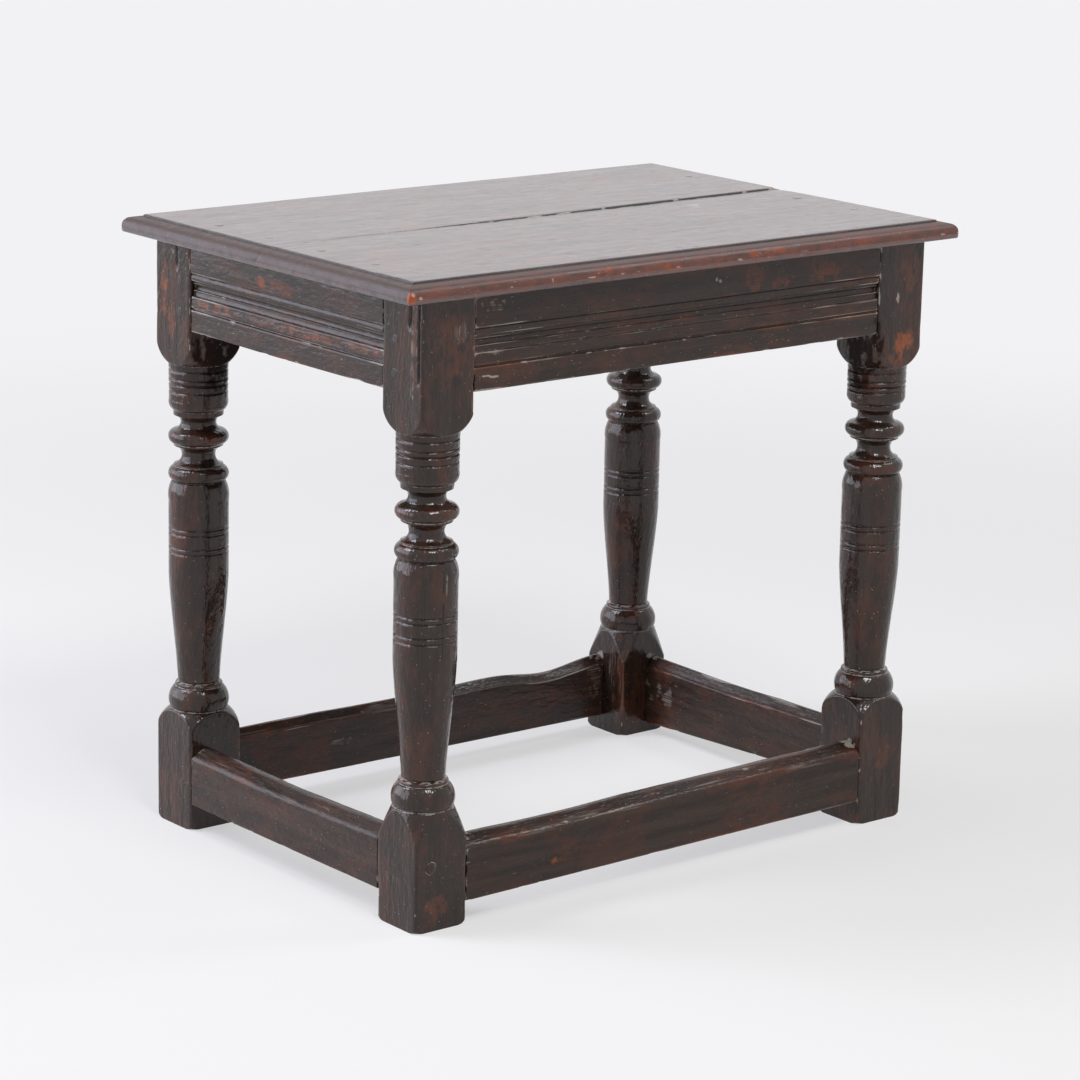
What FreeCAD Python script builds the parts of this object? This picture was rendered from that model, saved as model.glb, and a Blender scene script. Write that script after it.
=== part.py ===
"""Joint stool of stained oak: turned legs, run-moulded rails, low stretchers and a two-board top.

Every frame joint is a shouldered tenon in a blind mortise, held by tapered riven pegs.
Millimetres. The origin is on the floor under the middle of the stool, +X runs along the
long side, +Y to the back and +Z up.
"""
import FreeCAD
import Part
import math
import os
from dataclasses import dataclass

# Frame
LENGTH_OVER_LEGS = 580.0        # over the outer faces of the legs, along X
DEPTH_OVER_LEGS = 404.0         # the same along Y
LEG_LENGTH = 558.0              # floor to the underside of the top
LEG_SQUARE = 56.0               # side of the square blocks
LEG_ARRIS = 2.0                 # rounding of the long edges by wear
TURNED_RADIUS = 27.8            # full radius of the turning, just inside the square

# Turning, from the floor up. The stages that every leg shares:
FOOT_WEAR_HEIGHT = 6.0          # corners of the foot worn round on the floor
FOOT_WEAR_DEPTH = 4.0
FOOT_RING_HEIGHT = 26.5         # ring and flare above the foot block
DRUM_HEIGHT = 88.0              # upper part of the column, of full radius
CROWN_HEIGHT = 4.5              # chamfered head of the column
RINGS_HEIGHT = 67.0             # two rings and two necks between column and cup
COLLAR_HEIGHT = 18.5            # plain band under the upper block
NOTCH_WIDTH = 2.2               # V cut between cup and collar
NOTCH_DEPTH = 1.1
UPPER_SHOULDER_HEIGHT = 20.0    # rounded corners under the upper block
UPPER_BLOCK_HEIGHT = 99.0       # square block that takes the rails

# Stages that the turner varied from leg to leg. Two feet have straight shoulders, two rounded.
FRONT_LEFT_FOOT_BLOCK = 78.0
FRONT_LEFT_FOOT_SHOULDER = 29.0
FRONT_LEFT_CUP = 26.0
FRONT_RIGHT_FOOT_BLOCK = 100.0
FRONT_RIGHT_FOOT_SHOULDER = 21.0
FRONT_RIGHT_CUP = 18.0
BACK_RIGHT_FOOT_BLOCK = 74.0
BACK_RIGHT_FOOT_SHOULDER = 33.0
BACK_RIGHT_CUP = 33.0
BACK_LEFT_FOOT_BLOCK = 90.0
BACK_LEFT_FOOT_SHOULDER = 21.0
BACK_LEFT_CUP = 25.5

# Rails under the top
RAIL_HEIGHT = 84.5
RAIL_THICKNESS = 24.0
RAIL_SETBACK = 0.5              # rail face behind the leg face
MOULDING_DEPTH = 4.0            # deepest cut of the run moulding

# Stretchers near the floor
STRETCHER_THICKNESS = 25.0
STRETCHER_SLOPE_WIDTH = 14.0    # slope that feet have worn along the outer edge
STRETCHER_SLOPE_DROP = 7.0
STRETCHER_PEG_HEIGHT = 43.5     # above the floor

# None of the stretchers is quite level. Height of the underside and of the upper side at the
# left and at the right end, seen from outside
FRONT_STRETCHER_FEET = (20.0, 23.5)
FRONT_STRETCHER_TOPS = (77.0, 80.5)
RIGHT_STRETCHER_FEET = (23.5, 10.0)
RIGHT_STRETCHER_TOPS = (81.0, 79.5)
BACK_STRETCHER_FEET = (15.5, 19.0)
BACK_STRETCHER_TOPS = (79.5, 77.0)
LEFT_STRETCHER_FEET = (25.5, 27.0)
LEFT_STRETCHER_TOPS = (79.0, 82.0)

# Tenons and mortises
TENON_THICKNESS = 9.0
TENON_SETBACK = 11.0            # from the outer face of the leg to the cheek
TENON_LENGTH = 33.0
RAIL_TENON_FOOT = 6.0           # shoulder below a rail tenon
RAIL_TENON_HEAD = 14.0          # shoulder above it, so that the mortise stays closed
STRETCHER_TENON_MARGIN = 5.0    # shoulder below and above a stretcher tenon
CHEEK_CLEARANCE = 0.1
MORTISE_END_CLEARANCE = 0.8

# Pegs
PEG_HEAD = 9.0                  # across the corners of the eight-sided head
PEG_TIP = 6.5
PEG_WEB = 0.5                   # wood left between a peg's tip and the peg that crosses it
PEG_PROUD = 0.6                 # shrinkage leaves the head standing out of the face
PEG_CLEARANCE = 0.1
PEG_SIDES = 8
RAIL_PEG_INSET = 17.0           # from the tenon shoulder
RAIL_PEG_DROPS = (39.0, 68.0)   # below the top of the rail
STRETCHER_PEG_INSET = 15.0
TOP_PEG_GRIP = 26.0             # depth of a top peg in the rail
TOP_PEG_PROUD = 0.3
END_RAIL_PEG_SHARES = (-0.404, -0.134, 0.134, 0.404)   # of the clear length, from its middle
LONG_RAIL_PEG_SHARES = (0.0,)

# Round plug of a later repair in the foot of the front left leg
PLUG_DIAMETER = 12.0
PLUG_WEB = 1.0                  # wood left between the plug and the mortises behind it
PLUG_PROUD = 0.4
PLUG_HEIGHT = 58.0
PLUG_FROM_CORNER = 16.5

# Top
BOARD_THICKNESS = 17.0
OVERHANG_ENDS = 27.5
OVERHANG_SIDES = 17.0
EDGE_WIDTH = 15.5               # moulded border, from the nose to the quirk
QUIRK_DEPTH = 1.8               # step down from the flat of the top
NOSE_HEIGHT = 4.3               # above the underside
UNDER_ROUND = 2.2               # how far the underside is rounded back
OVOLO_WIDTH = 5.5               # from the nose to where the quick curve ends
OVOLO_DROP = 3.6                # that point below the flat of the top
JOINT_LEFT = 1.0                # joint between the boards, from the middle, at the left end
JOINT_RIGHT = 18.0              # and at the right end, since the boards taper
JOINT_GAP = 0.6                 # shrinkage crack between the boards
CUTTER_OVERRUN = 5.0            # cutters run this far past what they cut

# Outlines as (height share of the stage, radius share of the full radius, bulge share).
# The bulge is the rise of an arc as a share of its chord: outwards is positive, 0 is a line.
FOOT_RING_SHARES = (
    (0.54, 0.94, 0.105),
    (0.62, 0.89, 0.0),
    (1.0, 0.70, -0.09),
)
RINGS_SHARES = (
    (0.19, 0.84, 0.27),
    (0.505, 0.82, -0.33),
    (0.725, 0.77, 0.34),
    (0.925, 0.84, -0.33),
)
CROWN_END_SHARE = 0.90
BAND_RADIUS_SHARE = 0.985       # radius of the cup and the collar
CUP_CURVE_SHARE = 0.55          # flared lower part of the cup, as a share of its height
FOOT_SHOULDER_TOP_SHARE = 0.965
STRAIGHT_SHOULDER_BULGE_SHARE = 0.0
ROUNDED_SHOULDER_BULGE_SHARE = 0.11
BLANK_RADIUS_SHARE = 0.8        # the square corners lie at 0.71 of the side, inside this
EDGE_BULGE_SHARE = 0.14
CHORD_ANGLE = math.radians(46)  # most that one chord of a turned arc may span

# Rail moulding as (drop share of the rail height, depth share, bulge share)
MOULDING_SHARES = (
    (0.355, 0.0, 0.0),
    (0.362, 0.55, 0.0),
    (0.436, 0.25, -0.16),
    (0.447, 0.80, 0.0),
    (0.545, 0.80, 0.30),
    (0.558, 0.95, 0.0),
    (0.607, 0.40, 0.18),
    (0.736, 0.40, 0.0),
    (0.748, 0.95, 0.0),
    (0.764, 0.25, 0.0),
    (1.0, 0.45, 0.0),
)

QUARTER_TURN = 90.0
FULL_TURN = 360.0
ALONG = FreeCAD.Vector(1, 0, 0)
INWARD = FreeCAD.Vector(0, 1, 0)
UP = FreeCAD.Vector(0, 0, 1)
ORIGIN = FreeCAD.Vector(0, 0, 0)
BLANK_RADIUS = LEG_SQUARE * BLANK_RADIUS_SHARE
CORNER_RADIUS = LEG_SQUARE / math.sqrt(2)
TOP_HEIGHT = LEG_LENGTH + BOARD_THICKNESS


def arc_angle(bulge_share):
    """Angle that an arc spans when its rise is this share of its chord."""
    return 4 * math.atan(2 * abs(bulge_share))


def flat_sided(first, last):
    """Solid with plane faces between two rings of corners that run round the same way."""
    loops = [first, last]
    for index in range(len(first)):
        loops.append([first[index - 1], first[index], last[index], last[index - 1]])
    faces = [Part.Face(Part.makePolygon(loop + loop[:1])) for loop in loops]
    return Part.makeSolid(Part.makeShell(faces))


class Outline:
    """Edges drawn one after another in an upright plane.

    The plane is spanned by the direction across and the vertical, and an arc bulges
    to the right of the way it is drawn: outwards for a turning drawn upwards.
    """

    def __init__(self, across, start_across, start_height):
        self.across = across
        self.start = across * start_across + UP * start_height
        self.here = self.start
        self.edges = []

    def line(self, across, height):
        """Draw a straight edge to a point."""
        end = self.across * across + UP * height
        self.edges.append(Part.LineSegment(self.here, end).toShape())
        self.here = end

    def curve_to(self, end, bulge_share):
        """Arc from the last point to an end point."""
        chord = end - self.here
        right = self.across * chord.z - UP * chord.dot(self.across)
        middle = (self.here + end) / 2 + right * bulge_share
        return Part.Arc(self.here, middle, end)

    def arc(self, across, height, bulge_share):
        """Draw an arc to a point, or a straight edge where the bulge is nil."""
        if bulge_share == 0:
            self.line(across, height)
            return
        end = self.across * across + UP * height
        self.edges.append(self.curve_to(end, bulge_share).toShape())
        self.here = end

    def chords(self, across, height, bulge_share):
        """Draw an arc as a few chords, so that a turning stays light to mesh."""
        count = math.ceil(arc_angle(bulge_share) / CHORD_ANGLE)
        if count < 2:
            self.line(across, height)
            return
        curve = self.curve_to(self.across * across + UP * height, bulge_share)
        span = curve.LastParameter - curve.FirstParameter
        for index in range(1, count + 1):
            point = curve.value(curve.FirstParameter + span * index / count)
            self.line(point.dot(self.across), point.z)

    def face(self):
        """Close the outline and fill it."""
        self.edges.append(Part.LineSegment(self.here, self.start).toShape())
        return Part.Face(Part.Wire(self.edges))


@dataclass
class Leg:
    """One leg, standing at a corner given by the signs of its X and Y."""

    name: str
    sign_x: int
    sign_y: int
    foot_block: float
    foot_shoulder: float
    shoulder_bulge_share: float
    cup: float

    def stage(self, outline, base, stage_height, shares):
        """Draw a stage of the turning from its table of shares."""
        for height_share, radius_share, bulge_share in shares:
            height = base + stage_height * height_share
            outline.chords(TURNED_RADIUS * radius_share, height, bulge_share)

    def draw_foot(self, outline):
        """Draw the square foot, its shoulder and its ring."""
        outline.line(CORNER_RADIUS - FOOT_WEAR_DEPTH, 0)
        outline.line(CORNER_RADIUS, FOOT_WEAR_HEIGHT)
        outline.line(BLANK_RADIUS, FOOT_WEAR_HEIGHT)
        outline.line(BLANK_RADIUS, self.foot_block)
        outline.line(CORNER_RADIUS, self.foot_block)
        ring_foot = self.foot_block + self.foot_shoulder
        radius = TURNED_RADIUS * FOOT_SHOULDER_TOP_SHARE
        outline.chords(radius, ring_foot, self.shoulder_bulge_share)
        self.stage(outline, ring_foot, FOOT_RING_HEIGHT, FOOT_RING_SHARES)

    def draw_column(self, outline, column_top):
        """Draw the tapered column with its full drum and chamfered head."""
        outline.line(TURNED_RADIUS, column_top - DRUM_HEIGHT)
        outline.line(TURNED_RADIUS, column_top - CROWN_HEIGHT)
        outline.line(TURNED_RADIUS * CROWN_END_SHARE, column_top)

    def draw_cup_and_collar(self, outline, cup_foot, notch):
        """Draw the cup, the V notch above it and the collar."""
        radius = TURNED_RADIUS * BAND_RADIUS_SHARE
        outline.line(radius, cup_foot + self.cup * CUP_CURVE_SHARE)
        outline.line(radius, notch - NOTCH_WIDTH / 2)
        outline.line(radius - NOTCH_DEPTH, notch)
        outline.line(radius, notch + NOTCH_WIDTH / 2)
        outline.line(radius, notch + COLLAR_HEIGHT)

    def turning(self):
        """Solid of revolution that the square billet is cut down to."""
        block_foot = LEG_LENGTH - UPPER_BLOCK_HEIGHT
        notch = block_foot - UPPER_SHOULDER_HEIGHT - COLLAR_HEIGHT
        column_top = notch - self.cup - RINGS_HEIGHT
        outline = Outline(ALONG, 0, 0)
        self.draw_foot(outline)
        self.draw_column(outline, column_top)
        self.stage(outline, column_top, RINGS_HEIGHT, RINGS_SHARES)
        self.draw_cup_and_collar(outline, column_top + RINGS_HEIGHT, notch)
        outline.line(CORNER_RADIUS, block_foot)
        outline.line(BLANK_RADIUS, block_foot)
        outline.line(BLANK_RADIUS, LEG_LENGTH)
        outline.line(0, LEG_LENGTH)
        return outline.face().revolve(ORIGIN, UP, FULL_TURN)

    def solid(self):
        """The billet cut to the turning, without its mortises."""
        half = LEG_SQUARE / 2
        billet = Part.makeBox(LEG_SQUARE, LEG_SQUARE, LEG_LENGTH, FreeCAD.Vector(-half, -half, 0))
        long_edges = [edge for edge in billet.Edges if edge.Length > LEG_LENGTH - LEG_SQUARE]
        billet = billet.makeFillet(LEG_ARRIS, long_edges)
        leg = billet.common(self.turning())
        x = self.sign_x * (LENGTH_OVER_LEGS - LEG_SQUARE) / 2
        y = self.sign_y * (DEPTH_OVER_LEGS - LEG_SQUARE) / 2
        leg.translate(FreeCAD.Vector(x, y, 0))
        return leg


@dataclass
class Side:
    """One side of the frame, with a rail and a stretcher between two legs.

    Its own frame has x along the side from the middle, y inwards from the leg faces and
    z up from the floor. Both rails and their mortises, pegs and holes are made in it.
    """

    name: str
    quarter_turns: int
    length: float
    outer_distance: float
    top_peg_shares: tuple
    stretcher_feet: tuple
    stretcher_tops: tuple

    def place(self, shape):
        """Turn and move a shape from the side's own frame to the stool's."""
        placed = shape.copy()
        angle = QUARTER_TURN * self.quarter_turns
        placed.rotate(ORIGIN, UP, angle)
        inward = FreeCAD.Rotation(UP, angle).multVec(INWARD)
        placed.translate(inward * -self.outer_distance)
        return placed

    def clear_length(self):
        """Distance between the shoulders, from leg to leg."""
        return self.length - LEG_SQUARE * 2

    def tenon(self, end, foot, head, clearance, end_clearance):
        """Tenon at one end, or the mortise that takes it when clearances are given."""
        reach = TENON_LENGTH + end_clearance
        shoulder = self.clear_length() / 2
        low_x = shoulder if end > 0 else -shoulder - reach
        corner = FreeCAD.Vector(low_x, TENON_SETBACK - clearance, foot - clearance)
        width = TENON_THICKNESS + clearance * 2
        return Part.makeBox(reach, width, head - foot + clearance * 2, corner)

    def rail_tenon_span(self, end):
        """Lower and upper height of the rail tenon, the same at either end."""
        foot = LEG_LENGTH - RAIL_HEIGHT + RAIL_TENON_FOOT
        return foot, LEG_LENGTH - RAIL_TENON_HEAD

    def stretcher_span(self, end):
        """Lower and upper height of the stretcher at one end."""
        index = 0 if end < 0 else 1
        return self.stretcher_feet[index], self.stretcher_tops[index]

    def stretcher_tenon_span(self, end):
        """Lower and upper height of the stretcher tenon at one end."""
        foot, top = self.stretcher_span(end)
        return foot + STRETCHER_TENON_MARGIN, top - STRETCHER_SLOPE_DROP - STRETCHER_TENON_MARGIN

    def with_tenons(self, beam, span):
        """Add both tenons to a beam, each with the span it has at its end."""
        tenons = [self.tenon(end, *span(end), 0, 0) for end in (-1, 1)]
        return beam.fuse(tenons).removeSplitter()

    def mortises(self):
        """Cutters for the four mortises of this side."""
        spans = (self.rail_tenon_span, self.stretcher_tenon_span)
        return [self.place(self.tenon(end, *span(end), CHEEK_CLEARANCE, MORTISE_END_CLEARANCE))
                for span in spans for end in (-1, 1)]

    def rail(self):
        """Moulded rail with its tenons, in the side's own frame."""
        back = RAIL_THICKNESS + RAIL_SETBACK
        outline = Outline(INWARD, back, LEG_LENGTH - RAIL_HEIGHT)
        outline.line(back, LEG_LENGTH)
        outline.line(RAIL_SETBACK, LEG_LENGTH)
        for drop_share, depth_share, bulge_share in MOULDING_SHARES:
            depth = RAIL_SETBACK + MOULDING_DEPTH * depth_share
            outline.arc(depth, LEG_LENGTH - RAIL_HEIGHT * drop_share, bulge_share)
        face = outline.face()
        face.translate(FreeCAD.Vector(-self.clear_length() / 2, 0, 0))
        beam = face.extrude(FreeCAD.Vector(self.clear_length(), 0, 0))
        return self.with_tenons(beam, self.rail_tenon_span)

    def stretcher_end(self, end):
        """Corners of the stretcher's section at one end."""
        foot, top = self.stretcher_span(end)
        section = (
            (0, foot),
            (0, top - STRETCHER_SLOPE_DROP),
            (STRETCHER_SLOPE_WIDTH, top),
            (STRETCHER_THICKNESS, top),
            (STRETCHER_THICKNESS, foot),
        )
        x = end * self.clear_length() / 2
        return [FreeCAD.Vector(x, depth, height) for depth, height in section]

    def stretcher(self):
        """Stretcher with its worn slope and tenons, in the side's own frame."""
        beam = flat_sided(self.stretcher_end(-1), self.stretcher_end(1))
        return self.with_tenons(beam, self.stretcher_tenon_span)

    def pegs(self, end, inset, heights):
        """Pegs through the leg and tenon at one end, in the side's own frame."""
        x = end * (self.clear_length() / 2 + inset)
        length = LEG_SQUARE - inset - PEG_HEAD / 2 - PEG_WEB
        return [Peg(FreeCAD.Vector(x, 0, height), INWARD, length, PEG_PROUD) for height in heights]

    def rail_pegs(self, end):
        """The rail's pegs at one end."""
        return self.pegs(end, RAIL_PEG_INSET, [LEG_LENGTH - drop for drop in RAIL_PEG_DROPS])

    def stretcher_pegs(self, end):
        """The stretcher's peg at one end."""
        return self.pegs(end, STRETCHER_PEG_INSET, [STRETCHER_PEG_HEIGHT])

    def top_pegs(self):
        """Pegs that pin the top to this side's rail."""
        middle = RAIL_SETBACK + RAIL_THICKNESS / 2
        length = BOARD_THICKNESS + TOP_PEG_GRIP
        places = [self.clear_length() * share for share in self.top_peg_shares]
        return [Peg(FreeCAD.Vector(x, middle, TOP_HEIGHT), -UP, length, TOP_PEG_PROUD)
                for x in places]


@dataclass
class Peg:
    """A tapered eight-sided peg, driven from a face along a direction."""

    face_point: FreeCAD.Vector
    direction: FreeCAD.Vector
    length: float
    proud: float

    def ring(self, distance, radius):
        """Corners of one eight-sided section, at a distance into the wood."""
        centre = self.face_point + self.direction * distance
        first = UP if abs(self.direction.z) < 1 else INWARD
        second = self.direction.cross(first)
        angles = [math.tau * index / PEG_SIDES for index in range(PEG_SIDES)]
        return [centre + first * (radius * math.cos(angle)) + second * (radius * math.sin(angle))
                for angle in angles]

    def taper(self, start, clearance):
        """Tapered eight-sided solid from a start distance to the tip."""
        slope = (PEG_HEAD - PEG_TIP) / 2 / (self.length + self.proud)
        head_radius = PEG_HEAD / 2 + slope * (-self.proud - start) + clearance
        head = self.ring(start, head_radius)
        tip = self.ring(self.length, PEG_TIP / 2 + clearance)
        return flat_sided(head, tip)

    def solid(self):
        """The peg itself."""
        return self.taper(-self.proud, 0)

    def hole(self):
        """Hole as the driven peg has pressed it, a little wider than the peg."""
        return self.taper(-self.proud - CUTTER_OVERRUN, PEG_CLEARANCE)


class Top:
    """The moulded top and its two boards."""

    length = LENGTH_OVER_LEGS + OVERHANG_ENDS * 2
    depth = DEPTH_OVER_LEGS + OVERHANG_SIDES * 2

    def section(self, across, width):
        """Section through the top between two moulded edges."""
        half = width / 2
        nose = LEG_LENGTH + NOSE_HEIGHT
        ovolo = TOP_HEIGHT - OVOLO_DROP
        quirk = TOP_HEIGHT - QUIRK_DEPTH
        outline = Outline(across, half - UNDER_ROUND, LEG_LENGTH)
        outline.arc(half, nose, EDGE_BULGE_SHARE)
        outline.arc(half - OVOLO_WIDTH, ovolo, EDGE_BULGE_SHARE)
        outline.line(half - EDGE_WIDTH, quirk)
        outline.line(half - EDGE_WIDTH, TOP_HEIGHT)
        outline.line(EDGE_WIDTH - half, TOP_HEIGHT)
        outline.line(EDGE_WIDTH - half, quirk)
        outline.line(OVOLO_WIDTH - half, ovolo)
        outline.arc(-half, nose, EDGE_BULGE_SHARE)
        outline.arc(UNDER_ROUND - half, LEG_LENGTH, EDGE_BULGE_SHARE)
        return outline.face()

    def slab(self):
        """Both boards as one, with the edge moulding mitred at the corners."""
        along_x = self.section(INWARD, self.depth)
        along_x.translate(FreeCAD.Vector(-self.length / 2, 0, 0))
        run_x = along_x.extrude(FreeCAD.Vector(self.length, 0, 0))
        along_y = self.section(ALONG, self.length)
        along_y.translate(FreeCAD.Vector(0, -self.depth / 2, 0))
        run_y = along_y.extrude(FreeCAD.Vector(0, self.depth, 0))
        return run_x.common(run_y)

    def board(self, side):
        """Front board for side -1, back board for side 1, split along the tapering joint."""
        end_x = self.length / 2 + CUTTER_OVERRUN
        far_y = side * (self.depth / 2 + CUTTER_OVERRUN)
        shift = side * JOINT_GAP / 2
        corners = [
            FreeCAD.Vector(-end_x, JOINT_LEFT + shift, LEG_LENGTH - CUTTER_OVERRUN),
            FreeCAD.Vector(end_x, JOINT_RIGHT + shift, LEG_LENGTH - CUTTER_OVERRUN),
            FreeCAD.Vector(end_x, far_y, LEG_LENGTH - CUTTER_OVERRUN),
            FreeCAD.Vector(-end_x, far_y, LEG_LENGTH - CUTTER_OVERRUN),
        ]
        face = Part.Face(Part.makePolygon(corners + corners[:1]))
        keep = face.extrude(UP * (BOARD_THICKNESS + CUTTER_OVERRUN * 2))
        return self.slab().common(keep)


class Stool:
    """The whole stool: cuts the joints and writes one file for each named piece."""

    def __init__(self):
        straight = STRAIGHT_SHOULDER_BULGE_SHARE
        rounded = ROUNDED_SHOULDER_BULGE_SHARE
        self.legs = [
            Leg("front_left", -1, -1, FRONT_LEFT_FOOT_BLOCK, FRONT_LEFT_FOOT_SHOULDER,
                straight, FRONT_LEFT_CUP),
            Leg("front_right", 1, -1, FRONT_RIGHT_FOOT_BLOCK, FRONT_RIGHT_FOOT_SHOULDER,
                rounded, FRONT_RIGHT_CUP),
            Leg("back_right", 1, 1, BACK_RIGHT_FOOT_BLOCK, BACK_RIGHT_FOOT_SHOULDER,
                straight, BACK_RIGHT_CUP),
            Leg("back_left", -1, 1, BACK_LEFT_FOOT_BLOCK, BACK_LEFT_FOOT_SHOULDER,
                rounded, BACK_LEFT_CUP),
        ]
        long_side = (LENGTH_OVER_LEGS, DEPTH_OVER_LEGS / 2, LONG_RAIL_PEG_SHARES)
        end_side = (DEPTH_OVER_LEGS, LENGTH_OVER_LEGS / 2, END_RAIL_PEG_SHARES)
        self.sides = [
            Side("front", 0, *long_side, FRONT_STRETCHER_FEET, FRONT_STRETCHER_TOPS),
            Side("right", 1, *end_side, RIGHT_STRETCHER_FEET, RIGHT_STRETCHER_TOPS),
            Side("back", 2, *long_side, BACK_STRETCHER_FEET, BACK_STRETCHER_TOPS),
            Side("left", 3, *end_side, LEFT_STRETCHER_FEET, LEFT_STRETCHER_TOPS),
        ]
        self.pieces = {}

    def ends_at(self, leg):
        """The sides that meet at a leg, each with the sign of its end there."""
        corner = self.legs.index(leg)
        return [(self.sides[corner], -1), (self.sides[corner - 1], 1)]

    def plug(self):
        """Repair plug, and the blind hole that it fills."""
        x = PLUG_FROM_CORNER - LENGTH_OVER_LEGS / 2
        depth = TENON_SETBACK - PLUG_WEB
        centre = FreeCAD.Vector(x, -DEPTH_OVER_LEGS / 2, PLUG_HEIGHT)
        hole = Part.makeCylinder(PLUG_DIAMETER / 2 + PEG_CLEARANCE, depth, centre, INWARD)
        face = centre - INWARD * PLUG_PROUD
        plug = Part.makeCylinder(PLUG_DIAMETER / 2, depth + PLUG_PROUD, face, INWARD)
        return plug, hole

    def add_legs_and_pegs(self):
        """Cut mortises and peg holes in the legs, and make the pegs of each leg."""
        mortises = [cutter for side in self.sides for cutter in side.mortises()]
        plug, plug_hole = self.plug()
        for leg in self.legs:
            rail_pegs = []
            stretcher_pegs = []
            holes = []
            for side, end in self.ends_at(leg):
                for peg in side.rail_pegs(end):
                    rail_pegs.append(side.place(peg.solid()))
                    holes.append(side.place(peg.hole()))
                for peg in side.stretcher_pegs(end):
                    stretcher_pegs.append(side.place(peg.solid()))
                    holes.append(side.place(peg.hole()))
            self.pieces["leg_" + leg.name] = leg.solid().cut(mortises + holes + [plug_hole])
            self.pieces["rail_pegs_" + leg.name] = Part.makeCompound(rail_pegs)
            self.pieces["stretcher_pegs_" + leg.name] = Part.makeCompound(stretcher_pegs)
        self.pieces["repair_plug"] = plug

    def add_rails(self):
        """Make the rails and stretchers, bored for their pegs."""
        for side in self.sides:
            rail_pegs = side.rail_pegs(-1) + side.rail_pegs(1) + side.top_pegs()
            rail = side.rail().cut([peg.hole() for peg in rail_pegs])
            stretcher_pegs = side.stretcher_pegs(-1) + side.stretcher_pegs(1)
            stretcher = side.stretcher().cut([peg.hole() for peg in stretcher_pegs])
            self.pieces["rail_" + side.name] = side.place(rail)
            self.pieces["stretcher_" + side.name] = side.place(stretcher)

    def add_top(self):
        """Make the boards and the pegs that pin them down, grouped by board."""
        placed = [(side.place(peg.solid()), side.place(peg.hole()))
                  for side in self.sides for peg in side.top_pegs()]
        top = Top()
        joint = (JOINT_LEFT + JOINT_RIGHT) / 2
        for name, sign in (("front", -1), ("back", 1)):
            near = [(peg, hole) for peg, hole in placed
                    if (peg.CenterOfMass.y - joint) * sign > 0]
            self.pieces["top_board_" + name] = top.board(sign).cut([hole for peg, hole in near])
            self.pieces["top_pegs_" + name] = Part.makeCompound([peg for peg, hole in near])

    def write(self):
        """Build every piece and write it to the parts folder."""
        self.add_legs_and_pegs()
        self.add_rails()
        self.add_top()
        os.makedirs("parts", exist_ok=True)
        for name, shape in self.pieces.items():
            shape.exportStep(os.path.join("parts", name + ".step"))
            print(name, len(shape.Solids), round(shape.Volume), shape.isValid())


Stool().write()
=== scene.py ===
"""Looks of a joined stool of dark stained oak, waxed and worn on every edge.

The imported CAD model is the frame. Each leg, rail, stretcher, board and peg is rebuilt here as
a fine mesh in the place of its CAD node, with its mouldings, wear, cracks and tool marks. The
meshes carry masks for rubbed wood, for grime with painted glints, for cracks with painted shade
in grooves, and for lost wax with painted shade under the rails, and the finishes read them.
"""

import itertools
import logging
import math
from dataclasses import dataclass
from enum import Enum

import bpy
import numpy as np
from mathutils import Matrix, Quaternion, Vector

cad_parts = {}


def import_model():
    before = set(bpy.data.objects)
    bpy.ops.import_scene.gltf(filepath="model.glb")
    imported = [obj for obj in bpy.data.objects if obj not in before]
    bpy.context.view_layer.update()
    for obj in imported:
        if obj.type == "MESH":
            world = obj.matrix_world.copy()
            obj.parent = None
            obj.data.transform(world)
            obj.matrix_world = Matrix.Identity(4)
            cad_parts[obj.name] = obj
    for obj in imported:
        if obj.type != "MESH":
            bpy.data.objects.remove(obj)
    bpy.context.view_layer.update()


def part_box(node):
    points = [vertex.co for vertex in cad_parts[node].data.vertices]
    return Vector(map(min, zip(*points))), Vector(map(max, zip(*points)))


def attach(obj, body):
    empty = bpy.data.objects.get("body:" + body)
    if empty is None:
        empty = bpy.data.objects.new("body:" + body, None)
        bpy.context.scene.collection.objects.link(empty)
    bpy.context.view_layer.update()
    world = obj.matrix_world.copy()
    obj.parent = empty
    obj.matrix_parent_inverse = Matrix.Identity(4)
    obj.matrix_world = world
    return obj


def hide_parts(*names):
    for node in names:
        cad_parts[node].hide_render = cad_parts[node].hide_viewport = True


Array = np.ndarray
Triple = tuple[float, float, float]
Outline = tuple[Triple, ...]

MM = 0.001
BODY = "root"
FRAME_SLOT = "frame_oak"
TOP_SLOT = "top_oak"
PEG_SLOT = "peg_oak"


# White of the far paper and of all that stands round the stool.
DISTANT_WHITE = "#f2f2f4"

# Word, factors and shifts of the lattice hash. A large odd factor for each axis and for the
# seed keeps the axes and seeds from running alike.
WORD = 0xFFFFFFFF
AXIS_FACTORS = (374761393, 668265263, 2246822519)
SEED_FACTOR = 3266489917
MIXERS = ((13, 1274126177), (15, 2654435761))

log = logging.getLogger("stool")


def linear(hex_colour: str) -> tuple[float, float, float, float]:
    """Turn an sRGB hex colour into the linear one that Blender works in.

    Args:
        hex_colour: a hash and six hex digits.

    Returns:
        Red, green, blue and an alpha of one.
    """
    channels = [int(hex_colour[i:i + 2], 16) / 255 for i in (1, 3, 5)]
    return tuple(c / 12.92 if c <= 0.04045 else ((c + 0.055) / 1.055) ** 2.4
                 for c in channels) + (1.0,)


def rise(value: Array, low: float, high: float) -> Array:
    """Smooth step from 0 at the low value to 1 at the high one."""
    part = np.clip((value - low) / (high - low), 0, 1)
    return part * part * (3 - 2 * part)


def hump(value: Array, centre: float, width: float) -> Array:
    """Smooth hump of height one at the centre."""
    return np.exp(-((value - centre) / width) ** 2)


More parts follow.
